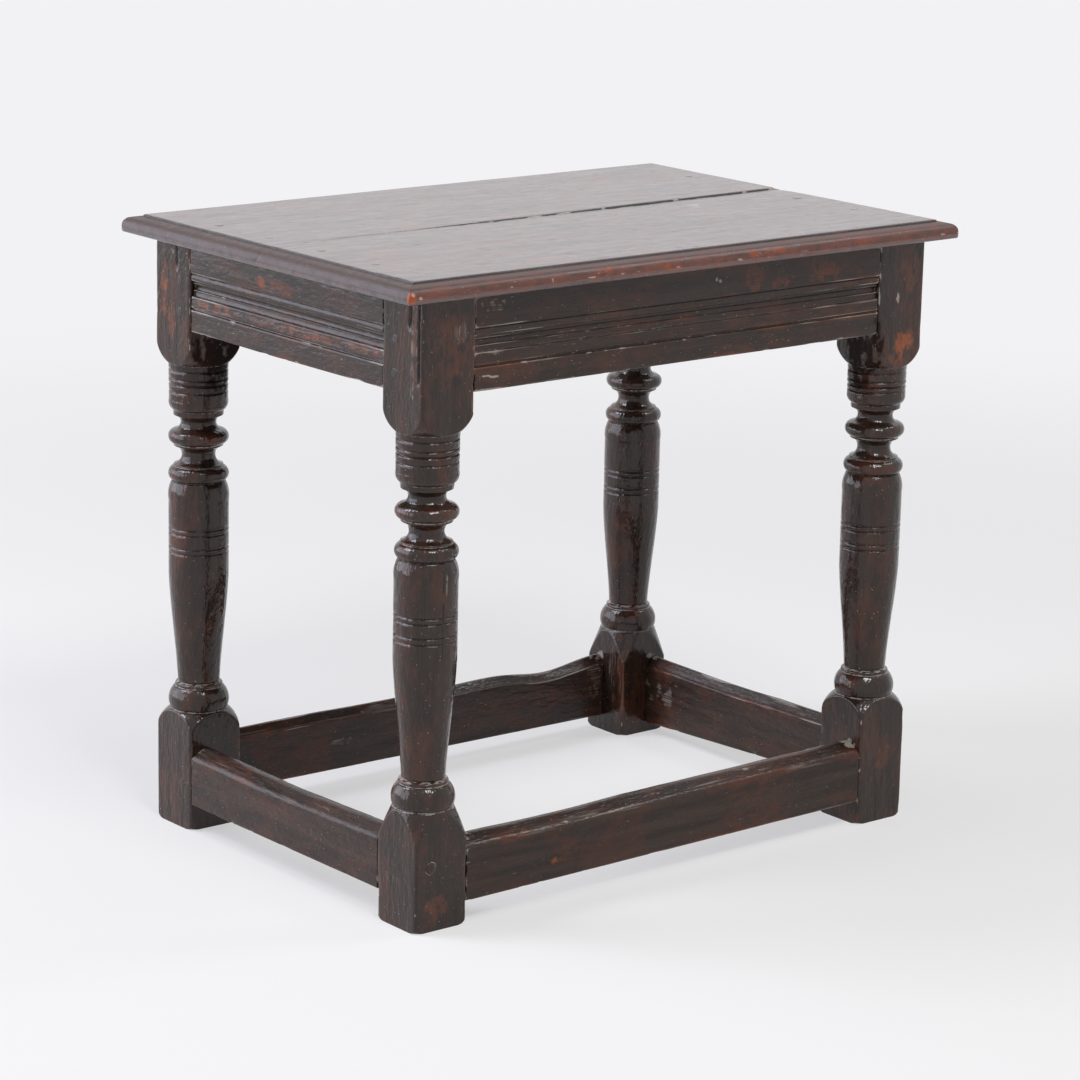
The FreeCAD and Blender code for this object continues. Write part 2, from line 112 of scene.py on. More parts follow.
@dataclass(frozen=True)
class Noise:
    """Smooth random field, the same on every run."""

    seed: int

    def corner(self, cell: Array) -> Array:
        """Random value from -1 to 1 at a corner of the lattice.

        Args:
            cell: whole numbers of the corners, with the three axes last.

        Returns:
            One value for each corner.
        """
        index = cell.astype(np.int64) & WORD
        key = sum(index[..., axis] * factor for axis, factor in enumerate(AXIS_FACTORS))
        key = (key + self.seed * SEED_FACTOR) & WORD
        for shift, factor in MIXERS:
            key = ((key ^ (key >> shift)) * factor) & WORD
        return ((key >> 8) & 0xFFFF) / 32767.5 - 1

    def at(self, points: Array, cell: Triple) -> Array:
        """Value of the field at points.

        Args:
            points: places in millimetres, with the three coordinates last.
            cell: size of one cell along X, Y and Z in millimetres.

        Returns:
            One value from -1 to 1 for each point.
        """
        scaled = points / np.asarray(cell)
        base = np.floor(scaled)
        part = scaled - base
        part = part * part * (3 - 2 * part)
        total = np.zeros(points.shape[:-1])
        for corner in itertools.product((0, 1), repeat=3):
            weight = np.prod(np.where(corner, part, 1 - part), axis=-1)
            total += weight * self.corner(base + corner)
        return total


def fields(seed: int, points: Array, *cells: Triple) -> list[Array]:
    """Make one noise field for each cell.

    Args:
        seed: seed of the piece.
        points: places in millimetres, with the three coordinates last.
        cells: size of each field's cell along X, Y and Z.

    Returns:
        The fields at those places, in the order of the cells.
    """
    return [Noise(seed * 10 + index).at(points, cell) for index, cell in enumerate(cells)]


class Mask(Enum):
    """What a finish shows at a point besides plain wood."""

    WEAR = "wear"
    # Old wax and dust, and painted glints on crests, arrises and edges.
    GRIME = "grime"
    # Cracks and joints, and painted shade in groove bottoms and chips.
    CRACK = "crack"
    # Lost wax, and painted shade under the rails.
    DULL = "dull"


@dataclass
class Skin:
    """A closed grid of points in millimetres, with one value of each mask at every point."""

    points: Array
    masks: dict[Mask, Array]

    @classmethod
    def of(cls, points: Array, wear: Array | float = 0.0, grime: Array | float = 0.0,
           crack: Array | float = 0.0, dull: Array | float = 0.0) -> "Skin":
        """Skin with its masks kept between 0 and 1.

        Args:
            points: closed grid of points in millimetres, whose columns run round.
            wear: how far each point is rubbed through to the wood.
            grime: how much old wax and dust it holds, and how much painted glint it shows.
            crack: how deep it lies in a crack or joint; also painted shade in the bottoms of
                grooves and in chips.
            dull: how far it has lost its wax; also painted shade, where a leg lies in shadow under
                a rail.

        Returns:
            The new skin.
        """
        flat = np.zeros(points.shape[:-1])
        values = zip(Mask, (wear, grime, crack, dull))
        return cls(points, {mask: np.clip(flat + value, 0, 1) for mask, value in values})


@dataclass(frozen=True)
class Mark:
    """A place where the surface differs from the rest of its piece, in millimetres."""

    place: Triple
    reach: Triple
    strength: float
    faintest: float = 0.05

    def leave_on(self, skin: Skin, mask: Mask) -> None:
        """Add the mark to one mask of a skin, with a ragged border.

        Args:
            skin: skin of any piece, near the mark or far from it.
            mask: the mask that the mark belongs to.
        """
        away = (skin.points - np.asarray(self.place)) / np.asarray(self.reach)
        near = np.exp(-(away ** 2).sum(axis=-1))
        if near.max() < self.faintest:
            return
        broken = Noise(5).at(skin.points, (6, 6, 9)) + 0.7 * Noise(6).at(skin.points, (2.2, 2.2, 3))
        value = self.strength * rise(near * (1 + broken), 0.15, 0.85)
        skin.masks[mask] = np.maximum(skin.masks[mask], value)


def to_object(name: str, skins: list[Skin]) -> bpy.types.Object:
    """Make one object of skins whose columns run round.

    Args:
        name: name of the piece.
        skins: grids of rows and columns.

    Returns:
        The new object, with its masks as point attributes.
    """
    faces, start = [], 0
    for skin in skins:
        rows, columns = skin.points.shape[:2]
        index = start + np.arange(rows * columns).reshape(rows, columns)
        turned = np.roll(index, -1, axis=1)
        quads = np.stack([index[:-1], turned[:-1], turned[1:], index[1:]], axis=-1).reshape(-1, 4)
        flat = skin.points.reshape(-1, 3)
        corners = flat[quads - start]
        outward = corners.mean(axis=1) - flat.mean(axis=0)
        normal = np.cross(corners[:, 2] - corners[:, 0], corners[:, 3] - corners[:, 1])
        faces.append(quads if (outward * normal).sum() > 0 else quads[:, ::-1])
        start += rows * columns
    quads = np.concatenate(faces)
    points = np.concatenate([skin.points.reshape(-1, 3) for skin in skins]) * MM
    mesh = bpy.data.meshes.new(name)
    mesh.vertices.add(start)
    mesh.vertices.foreach_set("co", points.astype(np.float32).ravel())
    mesh.loops.add(quads.size)
    mesh.loops.foreach_set("vertex_index", quads.astype(np.int32).ravel())
    mesh.polygons.add(len(quads))
    mesh.polygons.foreach_set("loop_start", np.arange(0, quads.size, 4, dtype=np.int32))
    mesh.update(calc_edges=True)
    mesh.polygons.foreach_set("use_smooth", np.ones(len(quads), dtype=bool))
    for mask in Mask:
        values = np.concatenate([skin.masks[mask].ravel() for skin in skins])
        attribute = mesh.attributes.new(mask.value, "FLOAT", "POINT")
        attribute.data.foreach_set("value", values.astype(np.float32))
    piece = bpy.data.objects.new(name, mesh)
    bpy.context.scene.collection.objects.link(piece)
    return piece


class Path:
    """Outline of lines and arcs in millimetres, sampled in short steps."""

    def __init__(self, first: float, second: float) -> None:
        """Begin at a point."""
        self.samples = [np.array((first, second), float)]

    def line(self, first: float, second: float, step: float) -> None:
        """Draw a straight stretch to a point in steps of about the given length."""
        self.arc(first, second, 0, step)

    def arc(self, first: float, second: float, bulge: float, step: float) -> None:
        """Draw an arc to a point.

        Args:
            first: first coordinate of the end.
            second: second coordinate of the end.
            bulge: rise of the arc as a share of its chord, to the right of the way drawn.
            step: length of a sample step.
        """
        start = self.samples[-1]
        chord = np.array((first, second), float) - start
        right = np.array((chord[1], -chord[0]))
        count = max(1, math.ceil(np.linalg.norm(chord) / step))
        half = 2 * math.atan(2 * bulge)
        for share in np.arange(1, count + 1) / count:
            if bulge == 0:
                self.samples.append(start + chord * share)
                continue
            swing = half * (2 * share - 1)
            along = 0.5 + math.sin(swing) / math.sin(half) / 2
            lift = (math.cos(swing) - math.cos(half)) / math.sin(half) / 2
            self.samples.append(start + chord * along + right * lift)

    def follow(self, outline: Outline, first: float, second: float, step: float) -> None:
        """Draw an outline stretch by stretch.

        Args:
            outline: for each stretch, both coordinates of its end and its bulge.
            first: first coordinate of the outline's origin.
            second: second coordinate of that origin.
            step: length of a sample step.
        """
        for end_first, end_second, bulge in outline:
            self.arc(first + end_first, second + end_second, bulge, step)

    def array(self) -> Array:
        """All samples as rows of two coordinates."""
        return np.array(self.samples)


def kernel(reach: int) -> Array:
    """Weights of a smooth mean over neighbours on both sides."""
    weights = np.hanning(reach * 2 + 3)[1:-1]
    return weights / weights.sum()


def relief(heights: Array, reach: int) -> Array:
    """Find how far each value stands above the mean of its neighbours.

    Args:
        heights: values in order along a line.
        reach: how many neighbours count on each side.

    Returns:
        One difference for each value, negative in grooves.
    """
    padded = np.pad(heights, reach, mode="edge")
    return heights - np.convolve(padded, kernel(reach), mode="valid")


class Side(Enum):
    """A side of the stool, by the direction that its outer face looks in."""

    FRONT = (0, -1)
    RIGHT = (1, 0)
    BACK = (0, 1)
    LEFT = (-1, 0)

    @property
    def short(self) -> bool:
        """Whether this is one of the two ends of the stool."""
        return self.value[1] == 0

    def place(self, along: Array, inward: Array, height: Array, distance: float) -> Array:
        """Place points given in the side's own frame.

        Args:
            along: place along the side from its middle, to the right seen from outside.
            inward: depth behind the outer face of the legs.
            height: height above the floor.
            distance: from the middle of the stool to the outer face of the legs.

        Returns:
            Points in the frame of the stool.
        """
        out_x, out_y = self.value
        reach = distance - inward
        return np.stack([out_x * reach - out_y * along, out_y * reach + out_x * along,
                         height + 0 * along], axis=-1)

    def cell(self, along: float, inward: float, up: float) -> Triple:
        """Cell of a noise field, given in the side's own frame."""
        return (inward, along, up) if self.short else (along, inward, up)


@dataclass(frozen=True)
class Split:
    """A crack along the grain in a square block, on one of its faces."""

    side: Side
    across: float
    low: float
    high: float
    width: float = 1.2
    depth: float = 2.6


@dataclass
class TurnedLeg:
    """One leg: square blocks with a turned column between them. Sizes in millimetres."""

    name: str
    centre: tuple[float, float]
    square: float
    length: float
    foot_block: float
    foot_shoulder: float
    shoulder_bulge: float
    cup: float
    seed: int
    splits: tuple[Split, ...] = ()
    battered: float = 1.0
    foot_ring: float = 26.5
    neck_radius: float = 19.5
    radius: float = 27.9
    drum: float = 88.0
    rings: float = 67.0
    collar: float = 18.5
    upper_shoulder: float = 20.0
    upper_block: float = 99.0
    column_scribes: tuple[float, ...] = (47.5, 52.5, 65.0, 70.5)
    collar_scribes: tuple[float, ...] = (5.5, 13.5)
    scribe_width: float = 2.2
    scribe_depth: float = 1.15
    columns_across: int = 48
    fine: float = 0.7
    plain: float = 2.0
    corner_power: int = 30
    merge: float = 3.2
    # Radius, height and bulge of each stretch, upwards: the ring of the foot, and the two
    # rings with their two necks above the column.
    foot_ring_outline: Outline = (
        (25.8, 0, 0), (26.8, 0.8, 0), (23.2, 20.4, 0.15), (21.8, 21.0, 0), (21.4, 24.4, 0.2))
    rings_outline: Outline = (
        (23.7, 0.5, 0), (24.2, 13.6, 0.30), (22.8, 14.3, 0), (22.8, 15.8, 0),
        (22.6, 33.4, -0.42), (22.9, 35.0, 0), (23.2, 35.6, 0), (23.4, 48.2, 0.36),
        (21.2, 48.9, 0), (19.6, 60.8, -0.34), (23.0, 62.4, 0))

    def scribe(self, path: Path, height: float) -> None:
        """Cut one fine V line into an even stretch of the turning.

        Args:
            path: outline of the turning, drawn up to the line.
            height: height of the line above the floor.
        """
        radius = path.samples[-1][0]
        path.line(radius, height - self.scribe_width / 2, self.plain)
        path.line(radius - self.scribe_depth, height, self.fine)
        path.line(radius, height + self.scribe_width / 2, self.fine)

    def foot(self, path: Path) -> float:
        """Draw the foot with its shoulder, ring and flare.

        Args:
            path: outline of the turning, still at the floor.

        Returns:
            Height at which the taper starts.
        """
        corner = self.square / math.sqrt(2)
        ring = self.foot_block + self.foot_shoulder
        path.line(corner - 5, 0, self.plain)
        path.arc(corner, 7, 0.16, self.fine)
        path.line(corner, self.foot_block, 1.5)
        path.arc(27.6, ring - 0.8, self.shoulder_bulge, 1.0)
        path.follow(self.foot_ring_outline, 0, ring, self.fine)
        path.line(self.neck_radius - 0.9, ring + 25.3, self.fine)
        path.line(self.neck_radius, ring + self.foot_ring, self.fine)
        return ring + self.foot_ring

    def column(self, path: Path, neck: float, top: float) -> None:
        """Draw the swelling taper, the drum with its scribed lines and the rounded head.

        Args:
            path: outline of the turning, drawn up to the neck.
            neck: height at which the taper starts.
            top: height at which the column ends.
        """
        drum_foot = top - self.drum
        count = math.ceil((drum_foot - neck) / self.plain)
        for share in np.arange(1, count + 1) / count:
            swell = 0.5 * share + 0.5 * share * share * (3 - 2 * share)
            radius = self.neck_radius + (self.radius - self.neck_radius) * swell
            path.line(radius, neck + (drum_foot - neck) * share, self.plain)
        for drop in reversed(self.column_scribes):
            self.scribe(path, top - drop)
        path.line(self.radius, top - 18, self.plain)
        path.arc(24.9, top, 0.08, self.fine)

    def cup_and_collar(self, path: Path, foot: float, notch: float) -> None:
        """Draw the cup with one scribed line, the notch and the scribed collar.

        Args:
            path: outline of the turning, drawn up to the cup.
            foot: height at which the cup starts.
            notch: height of the notch between cup and collar.
        """
        path.arc(27.2, foot + min(10.0, self.cup * 0.45), 0.16, self.fine)
        self.scribe(path, notch - self.cup * 0.28)
        path.line(27.3, notch - 1.6, self.fine)
        path.line(25.6, notch, self.fine)
        path.line(27.4, notch + 1.4, self.fine)
        for drop in reversed(self.collar_scribes):
            self.scribe(path, notch + self.collar - drop)
        path.line(27.6, notch + self.collar, self.fine)

    def profile(self) -> Array:
        """Draw the outline of the whole turning.

        Returns:
            Rows of radius and height, from the middle of the foot to the middle of the head.
        """
        corner = self.square / math.sqrt(2)
        block_foot = self.length - self.upper_block
        notch = block_foot - self.upper_shoulder - self.collar
        column_top = notch - self.cup - self.rings
        path = Path(0, 0)
        self.column(path, self.foot(path), column_top)
        path.follow(self.rings_outline, 0, column_top, self.fine)
        path.line(23.3, column_top + self.rings, self.fine)
        self.cup_and_collar(path, column_top + self.rings, notch)
        path.arc(corner, block_foot, 0.09, 1.0)
        path.line(corner, self.length - 0.3, 1.5)
        path.line(0, self.length - 0.3, 6.0)
        return path.array()

    def directions(self) -> tuple[Array, Array]:
        """Spread the columns of points, closest together at the arrises.

        Returns:
            Angle of each column, and how far it is from the nearest arris of the square.
        """
        even = (np.arange(self.columns_across) + 0.5) / self.columns_across * 2 - 1
        places = 0.6 * even + 0.4 * np.sin(even * math.pi / 2)
        angles = [np.arctan(places) + quarter * math.pi / 2 for quarter in range(4)]
        return np.concatenate(angles), (1 - np.abs(np.tile(places, 4))) * self.square / 2

    def dusty_steps(self) -> tuple[float, ...]:
        """Heights of the small steps round the foot ring, where old wax and dust stay."""
        ring = self.foot_block + self.foot_shoulder
        return ring - 0.1, ring + 21.4, ring + 24.8

    def build(self) -> Skin:
        """Shape the leg as the part of a square billet that the turning leaves.

        Returns:
            Skin of the leg, in its place in the stool.
        """
        profile = self.profile()
        angles, from_arris = self.directions()
        turned = profile[:, :1] + np.zeros_like(angles)
        power = self.corner_power
        spread = (np.abs(np.cos(angles)) ** power + np.abs(np.sin(angles)) ** power) ** (1 / power)
        square = self.square / 2 / spread + np.zeros_like(turned)
        gap = np.clip(np.abs(turned - square), 0, 12)
        reach = np.minimum(turned, square) - np.log1p(np.exp(-self.merge * gap)) / self.merge
        reach = np.maximum(reach, np.minimum(turned, 0.01))
        outward = np.stack([np.cos(angles), np.sin(angles), np.zeros_like(angles)], axis=-1)
        points = outward * reach[..., None]
        points[..., 2] = profile[:, 1:]
        on_block = rise(turned - square, -0.3, 0.8)
        skin = self.wear_down(points, profile, outward, np.exp(-from_arris / 2.0) * on_block,
                              on_block)
        self.open_splits(skin, outward)
        skin.points[..., :2] += np.asarray(self.centre)
        return skin

    def wear_down(self, points: Array, profile: Array, outward: Array, arris: Array,
                  on_block: Array) -> Skin:
        """Add tool marks, knocks and wear, and note where the wood is rubbed or dirty, where glints
        are painted and where shade is painted.

        Args:
            points: the clean leg, about its own axis.
            profile: radius and height of each row.
            outward: direction of each column away from the axis.
            arris: how near each point is to an arris of a block, from 0 to 1.
            on_block: 1 on the faces of the blocks and 0 on the turning.

        Returns:
            The worn skin.
        """
        broad, planed, fibre, knock, worn, bits, nick, patch, speckle = fields(
            self.seed, points, (34, 34, 60), (8, 8, 30), (1.6, 1.6, 22), (5, 5, 7), (9, 9, 26),
            (2.6, 2.6, 6), (6, 6, 3.4), (15, 15, 34), (2.2, 2.2, 3))
        fine_relief = relief(profile[:, 0], 3)[:, None] * (1 - on_block)
        crest = np.clip(relief(profile[:, 0], 8)[:, None] * (1 - on_block), 0, 1.5)
        knocks = rise(knock, 0.5, 0.95)
        worn = rise(worn, -0.1, 0.8)
        crumbs = rise(bits, 0.0, 0.9) * worn
        nicks = rise(nick, 0.25, 0.85) * crest
        depth = 0.3 * knocks + self.battered * arris * (0.5 * worn + 1.3 * crumbs) + 0.45 * nicks
        inside = rise(profile[:, :1], 3, 8)
        uneven = 0.25 * broad + 0.10 * planed * on_block + 0.06 * fibre
        moved = points + outward * ((uneven - depth) * inside)[..., None]
        patch = rise(patch, 0.05, 0.8)
        wear = 0.4 * crest * (0.5 + patch) + arris * (0.15 + 0.6 * patch) + 0.12 * patch
        groove = rise(-fine_relief, 0.11, 0.25)
        bottom = rise(-fine_relief, 0.36, 0.55)
        grime = groove * (0.75 + 0.5 * speckle) + 0.5 * crumbs * arris + 0.25 * nicks
        # The broken pale line along the arrises of the blocks is partly pale chips and partly a
        # painted glint.
        grime = (grime + 1.2 * arris ** 1.4 * rise(-bits, 0.1, 0.45)) * (1 - bottom)
        for height in self.dusty_steps():
            grime = grime + hump(profile[:, 1:], height, 0.8) * (0.65 + 0.7 * bits)
        # Near black in the bottoms of the deepest grooves and in the chips of the arrises: painted
        # shade.
        return Skin.of(moved, wear, grime, crumbs * arris * 0.8 + 0.7 * bottom)

    def open_splits(self, skin: Skin, outward: Array) -> None:
        """Open the cracks of this leg's blocks.

        Args:
            skin: the leg, about its own axis.
            outward: direction of each column away from the axis.
        """
        for split in self.splits:
            out_x, out_y = split.side.value
            x, y, z = np.moveaxis(skin.points, -1, 0)
            facing = rise(out_x * outward[..., 0] + out_y * outward[..., 1], 0.66, 0.70)
            waver = Noise(self.seed + 77).at(skin.points, (60, 60, 8)) * 0.8
            ends = rise(z, split.low, split.low + 8) * (1 - rise(z, split.high - 1, split.high))
            cut = hump(out_x * y - out_y * x + waver, split.across, split.width) * ends * facing
            skin.points[..., :2] -= outward[..., :2] * (cut * split.depth)[..., None]
            skin.masks[Mask.CRACK] = np.maximum(skin.masks[Mask.CRACK], rise(cut, 0.2, 0.6))


@dataclass
class Beam:
    """A straight piece between two legs, swept along its side. Sizes in millimetres."""

    name: str
    side: Side
    half_length: float
    distance: float
    seed: int
    step: float = 1.6
    end_gap: float = 0.25

    def section(self) -> Array:
        """Depth behind the leg faces and height, round the section."""
        raise NotImplementedError

    def shape(self, along: Array, depth: Array, height: Array, crest: Array) -> Skin:
        """Wear the swept points and set the masks, in the side's own frame.

        Args:
            along: places along the side from its middle.
            depth: depths behind the outer face of the legs.
            height: heights as the section gives them.
            crest: how far each point stands out of the section.

        Returns:
            The worn skin.
        """
        raise NotImplementedError

    def build(self) -> Skin:
        """Sweep the section from leg to leg and close its ends.

        Returns:
            Skin of the beam, in its place in the stool.
        """
        outline = self.section()
        reach = self.half_length - self.end_gap
        inner = np.linspace(0.8 - reach, reach - 0.8, math.ceil(reach * 2 / self.step))
        along = np.concatenate([[-reach, -reach, 0.25 - reach], inner,
                                [reach - 0.25, reach, reach]])
        inset = np.zeros(len(along))
        inset[[1, -2]] = 0.6
        inset[[2, -3]] = 0.2
        middle = (outline.max(axis=0) + outline.min(axis=0)) / 2
        half = (outline.max(axis=0) - outline.min(axis=0)) / 2
        factor = 1 - inset[:, None, None] / half
        factor[[0, -1]] = 0
        rows = (outline - middle) * factor + middle
        crest = self.crest(outline) + np.zeros(rows.shape[:2])
        along = along[:, None] + np.zeros(rows.shape[:2])
        skin = self.shape(along, rows[..., 0], rows[..., 1], crest)
        near_end = np.exp((np.abs(along) - reach) / 2.2)
        broken = rise(Noise(self.seed).at(skin.points, (5, 5, 5)), -0.4, 0.5)
        for mask, share in ((Mask.GRIME, 0.7 * broken), (Mask.CRACK, 0.6 * (1 - broken))):
            skin.masks[mask] = np.clip(skin.masks[mask] + near_end * share, 0, 1)
        return skin

    def crest(self, outline: Array) -> Array:
        """Find the crests of the section.

        Args:
            outline: the section, in order round it.

        Returns:
            How far each point stands out, negative in hollows.
        """
        reach = 5
        looped = np.concatenate([outline[-reach:], outline, outline[:reach]])
        smooth = np.stack([np.convolve(column, kernel(reach), mode="valid")
                           for column in looped.T], axis=-1)
        tangent = np.roll(outline, -1, axis=0) - np.roll(outline, 1, axis=0)
        normal = np.stack([tangent[:, 1], -tangent[:, 0]], axis=-1)
        normal /= np.maximum(np.linalg.norm(normal, axis=-1, keepdims=True), 1e-6)
        away = outline - outline.mean(axis=0)
        sign = 1 if (away * normal).sum() > 0 else -1
        return sign * ((outline - smooth) * normal).sum(axis=-1)

    def fields(self, along: Array, depth: Array, height: Array, *cells: Triple) -> list[Array]:
        """Make one noise field for each cell.

        Args:
            along: places along the side from its middle.
            depth: depths behind the outer face of the legs.
            height: heights above the floor.
            cells: size of each field's cell along, inward and up.

        Returns:
            The fields at those places, in the order of the cells.
        """
        at = self.side.place(along, depth, height, self.distance)
        return fields(self.seed, at, *(self.side.cell(*cell) for cell in cells))


@dataclass
class MouldedRail(Beam):
    """A rail with its run moulding: hollow, bead, ovolo and a lower groove."""

    low: float = 473.5
    high: float = 558.0
    thickness: float = 24.0
    setback: float = 0.5
    # Depth behind the face, height and bulge of each stretch, downwards: hollow, bead and
    # ovolo, and the lower groove.
    upper_run: Outline = (
        (0.3, 528.2, 0), (2.2, 527.5, 0), (1.0, 521.3, 0.16), (3.1, 520.3, 0), (3.2, 518.4, 0),
        (3.3, 512.2, -0.34), (3.8, 511.2, 0), (3.7, 510.2, 0), (1.2, 506.2, -0.16))
    lower_run: Outline = ((2.4, 495.6, 0), (2.2, 494.6, 0), (0.6, 493.6, 0))

    def section(self) -> Array:
        """Draw the section from the top of the face down and round the back.

        Returns:
            Rows of depth behind the leg faces and height above the floor.
        """
        face, back, fine = self.setback, self.setback + self.thickness, 0.6
        path = Path(face, self.high - 0.3)
        path.line(face, 529.0, 1.5)
        path.follow(self.upper_run, face, 0, fine)
        path.line(face + 1.0, 496.4, 1.1)
        path.follow(self.lower_run, face, 0, fine)
        path.line(face + 0.8, self.low + 1.2, 1.5)
        path.line(face + 1.8, self.low, fine)
        path.line(back - 0.8, self.low, 2.4)
        path.line(back, self.low + 0.8, fine)
        path.line(back, self.high - 0.3, 5.0)
        path.line(face + 2.5, self.high - 0.3, 6.0)
        return path.array()

    def shape(self, along: Array, depth: Array, height: Array, crest: Array) -> Skin:
        """Waver the hand-run lines, split out some chips, rub the crests and paint pale highlight
        lines along them.

        Args:
            along: places along the side from its middle.
            depth: depths behind the outer face of the legs.
            height: heights above the floor.
            crest: how far each point stands out of the section.

        Returns:
            The worn skin.
        """
        line, sag, ripple, fibre, crumb, bite, patch, speckle = self.fields(
            along, depth, height, (120, 30, 30), (150, 40, 40), (34, 6, 5), (24, 3, 1.2),
            (9, 4, 2.6), (16, 6, 6), (50, 30, 16), (3.4, 3, 2))
        front = 1 - rise(depth, 6, 9)
        crumbs = rise(crumb, 0.45, 0.9)
        under = np.exp(-np.abs(height - self.low) / 1.6) * front
        bites = rise(bite, 0.45, 0.95) * under
        inset = 0.3 * sag + front * (0.12 * ripple + 0.08 * fibre)
        inset = inset + 0.9 * crumbs * np.clip(crest * 1.4, 0, 1) + 1.0 * bites
        points = self.side.place(along, depth + np.maximum(inset, -0.3),
                                 height + 0.4 * line * front, self.distance)
        rubbed = rise(patch, 0.1, 0.8)
        wear = np.clip(crest, 0, 0.8) * (0.25 + 0.6 * rubbed) + 0.22 * rubbed * front
        groove = rise(-crest, 0.12, 0.45) * front
        grime = groove * (0.35 + 0.4 * speckle) + 0.35 * crumbs * np.clip(crest * 2, 0, 1)
        # Pale lines along the crests of the moulding, stronger towards both ends: painted
        # highlights, with some dust.
        ends = 0.5 + 0.4 * rise(np.abs(along) / self.half_length, 0.45, 0.9)
        grime = grime + rise(crest, 0.10, 0.34) * front * ends * (0.72 + 0.35 * fibre)
        # Near-black spots in the hollows of the moulding: painted shade.
        return Skin.of(points, wear, grime, groove * rise(speckle, -0.6, 0.4) * 0.5)


@dataclass(frozen=True)
class Dip:
    """A hollow that feet have worn along the top of a stretcher."""

    along: float
    reach: float
    depth: float


@dataclass
class Stretcher(Beam):
    """A low stretcher, worn to a slope by feet and not quite level."""

    feet: tuple[float, float] = (20.0, 20.0)
    tops: tuple[float, float] = (78.0, 78.0)
    inner_drop: float = 2.5
    dips: tuple[Dip, ...] = ()
    outer_drop: float = 7.0
    slope: float = 14.0
    thickness: float = 25.0
    full: float = 58.0

    def section(self) -> Array:
        """Draw the section from the foot of the outer face up and round.

        Returns:
            Rows of depth behind the leg faces and height above the foot of the section.
        """
        fine, face, back = 0.8, 0.3, self.full - self.inner_drop
        path = Path(face, 1.0)
        path.line(face, self.full - self.outer_drop - 4.0, 1.6)
        path.arc(4.5, self.full - self.outer_drop + 1.6, -0.13, fine)
        path.line(self.slope - 2.0, self.full - 1.1, 1.1)
        path.arc(self.slope + 3.0, self.full - 0.3, -0.06, fine)
        path.line(self.thickness - 2.2, back + 0.9, 1.1)
        path.arc(self.thickness, back - 1.6, -0.2, fine)
        path.line(self.thickness, 1.4, 2.0)
        path.arc(self.thickness - 1.4, 0, -0.2, fine)
        path.line(1.4, 0, 2.4)
        path.line(face, 1.0, fine)
        return path.array()[:-1]

    def shape(self, along: Array, depth: Array, height: Array, crest: Array) -> Skin:
        """Set the section between its two ends, hollow its upper side and roughen it.

        Args:
            along: places along the side from its middle.
            depth: depths behind the outer face of the legs.
            height: heights above the foot of the section.
            crest: how far each point stands out of the section.

        Returns:
            The worn skin.
        """
        share = along / self.half_length / 2 + 0.5
        foot, top = (ends[0] + (ends[1] - ends[0]) * share for ends in (self.feet, self.tops))
        upper = rise(height, self.full * 0.5, self.full)
        worn = sum((hump(along, dip.along, dip.reach) * dip.depth for dip in self.dips),
                   np.zeros_like(along))
        height = foot + height / self.full * (top - foot)
        wave, ripple, fibre, bite, pit, patch, speckle, streak = self.fields(
            along, depth, height, (80, 60, 60), (26, 6, 6), (30, 2.4, 1.5), (10, 5, 5),
            (11, 5, 3), (60, 20, 24), (3.5, 3, 2), (50, 4, 3))
        bites = rise(bite, 0.4, 0.9) * np.clip(crest * 1.6, 0, 1)
        pits = rise(pit, 0.6, 0.95)
        clear = 1 - rise(np.abs(share - 0.5), 0.42, 0.5)
        inset = 0.25 + 0.22 * ripple + 0.14 * fibre + 1.2 * bites + 0.4 * pits
        middle = self.thickness / 2
        flank = np.clip((middle - depth) / middle * 1.6, -1, 1) * (1 - 0.7 * upper)
        height = height - upper * (worn + (0.6 * np.abs(wave) + 0.5 * np.abs(inset)) * clear)
        points = self.side.place(along, depth + inset * flank, height, self.distance)
        rubbed = rise(patch, 0.0, 0.75)
        wear = np.clip(crest * 1.2, 0, 0.8) * (0.15 + 0.35 * rubbed) + 0.26 * rubbed
        grime = 0.55 * upper * rise(streak, -0.1, 0.7) + 0.5 * pits * rise(speckle, 0, 0.6)
        grime = grime + 0.6 * rise(crest, 0.2, 0.5) * rise(streak, -0.3, 0.5)
        # Chips and pits are darkened towards black.
        return Skin.of(points, wear, grime, 0.35 * bites + 0.4 * pits * rise(-speckle, 0, 0.6))


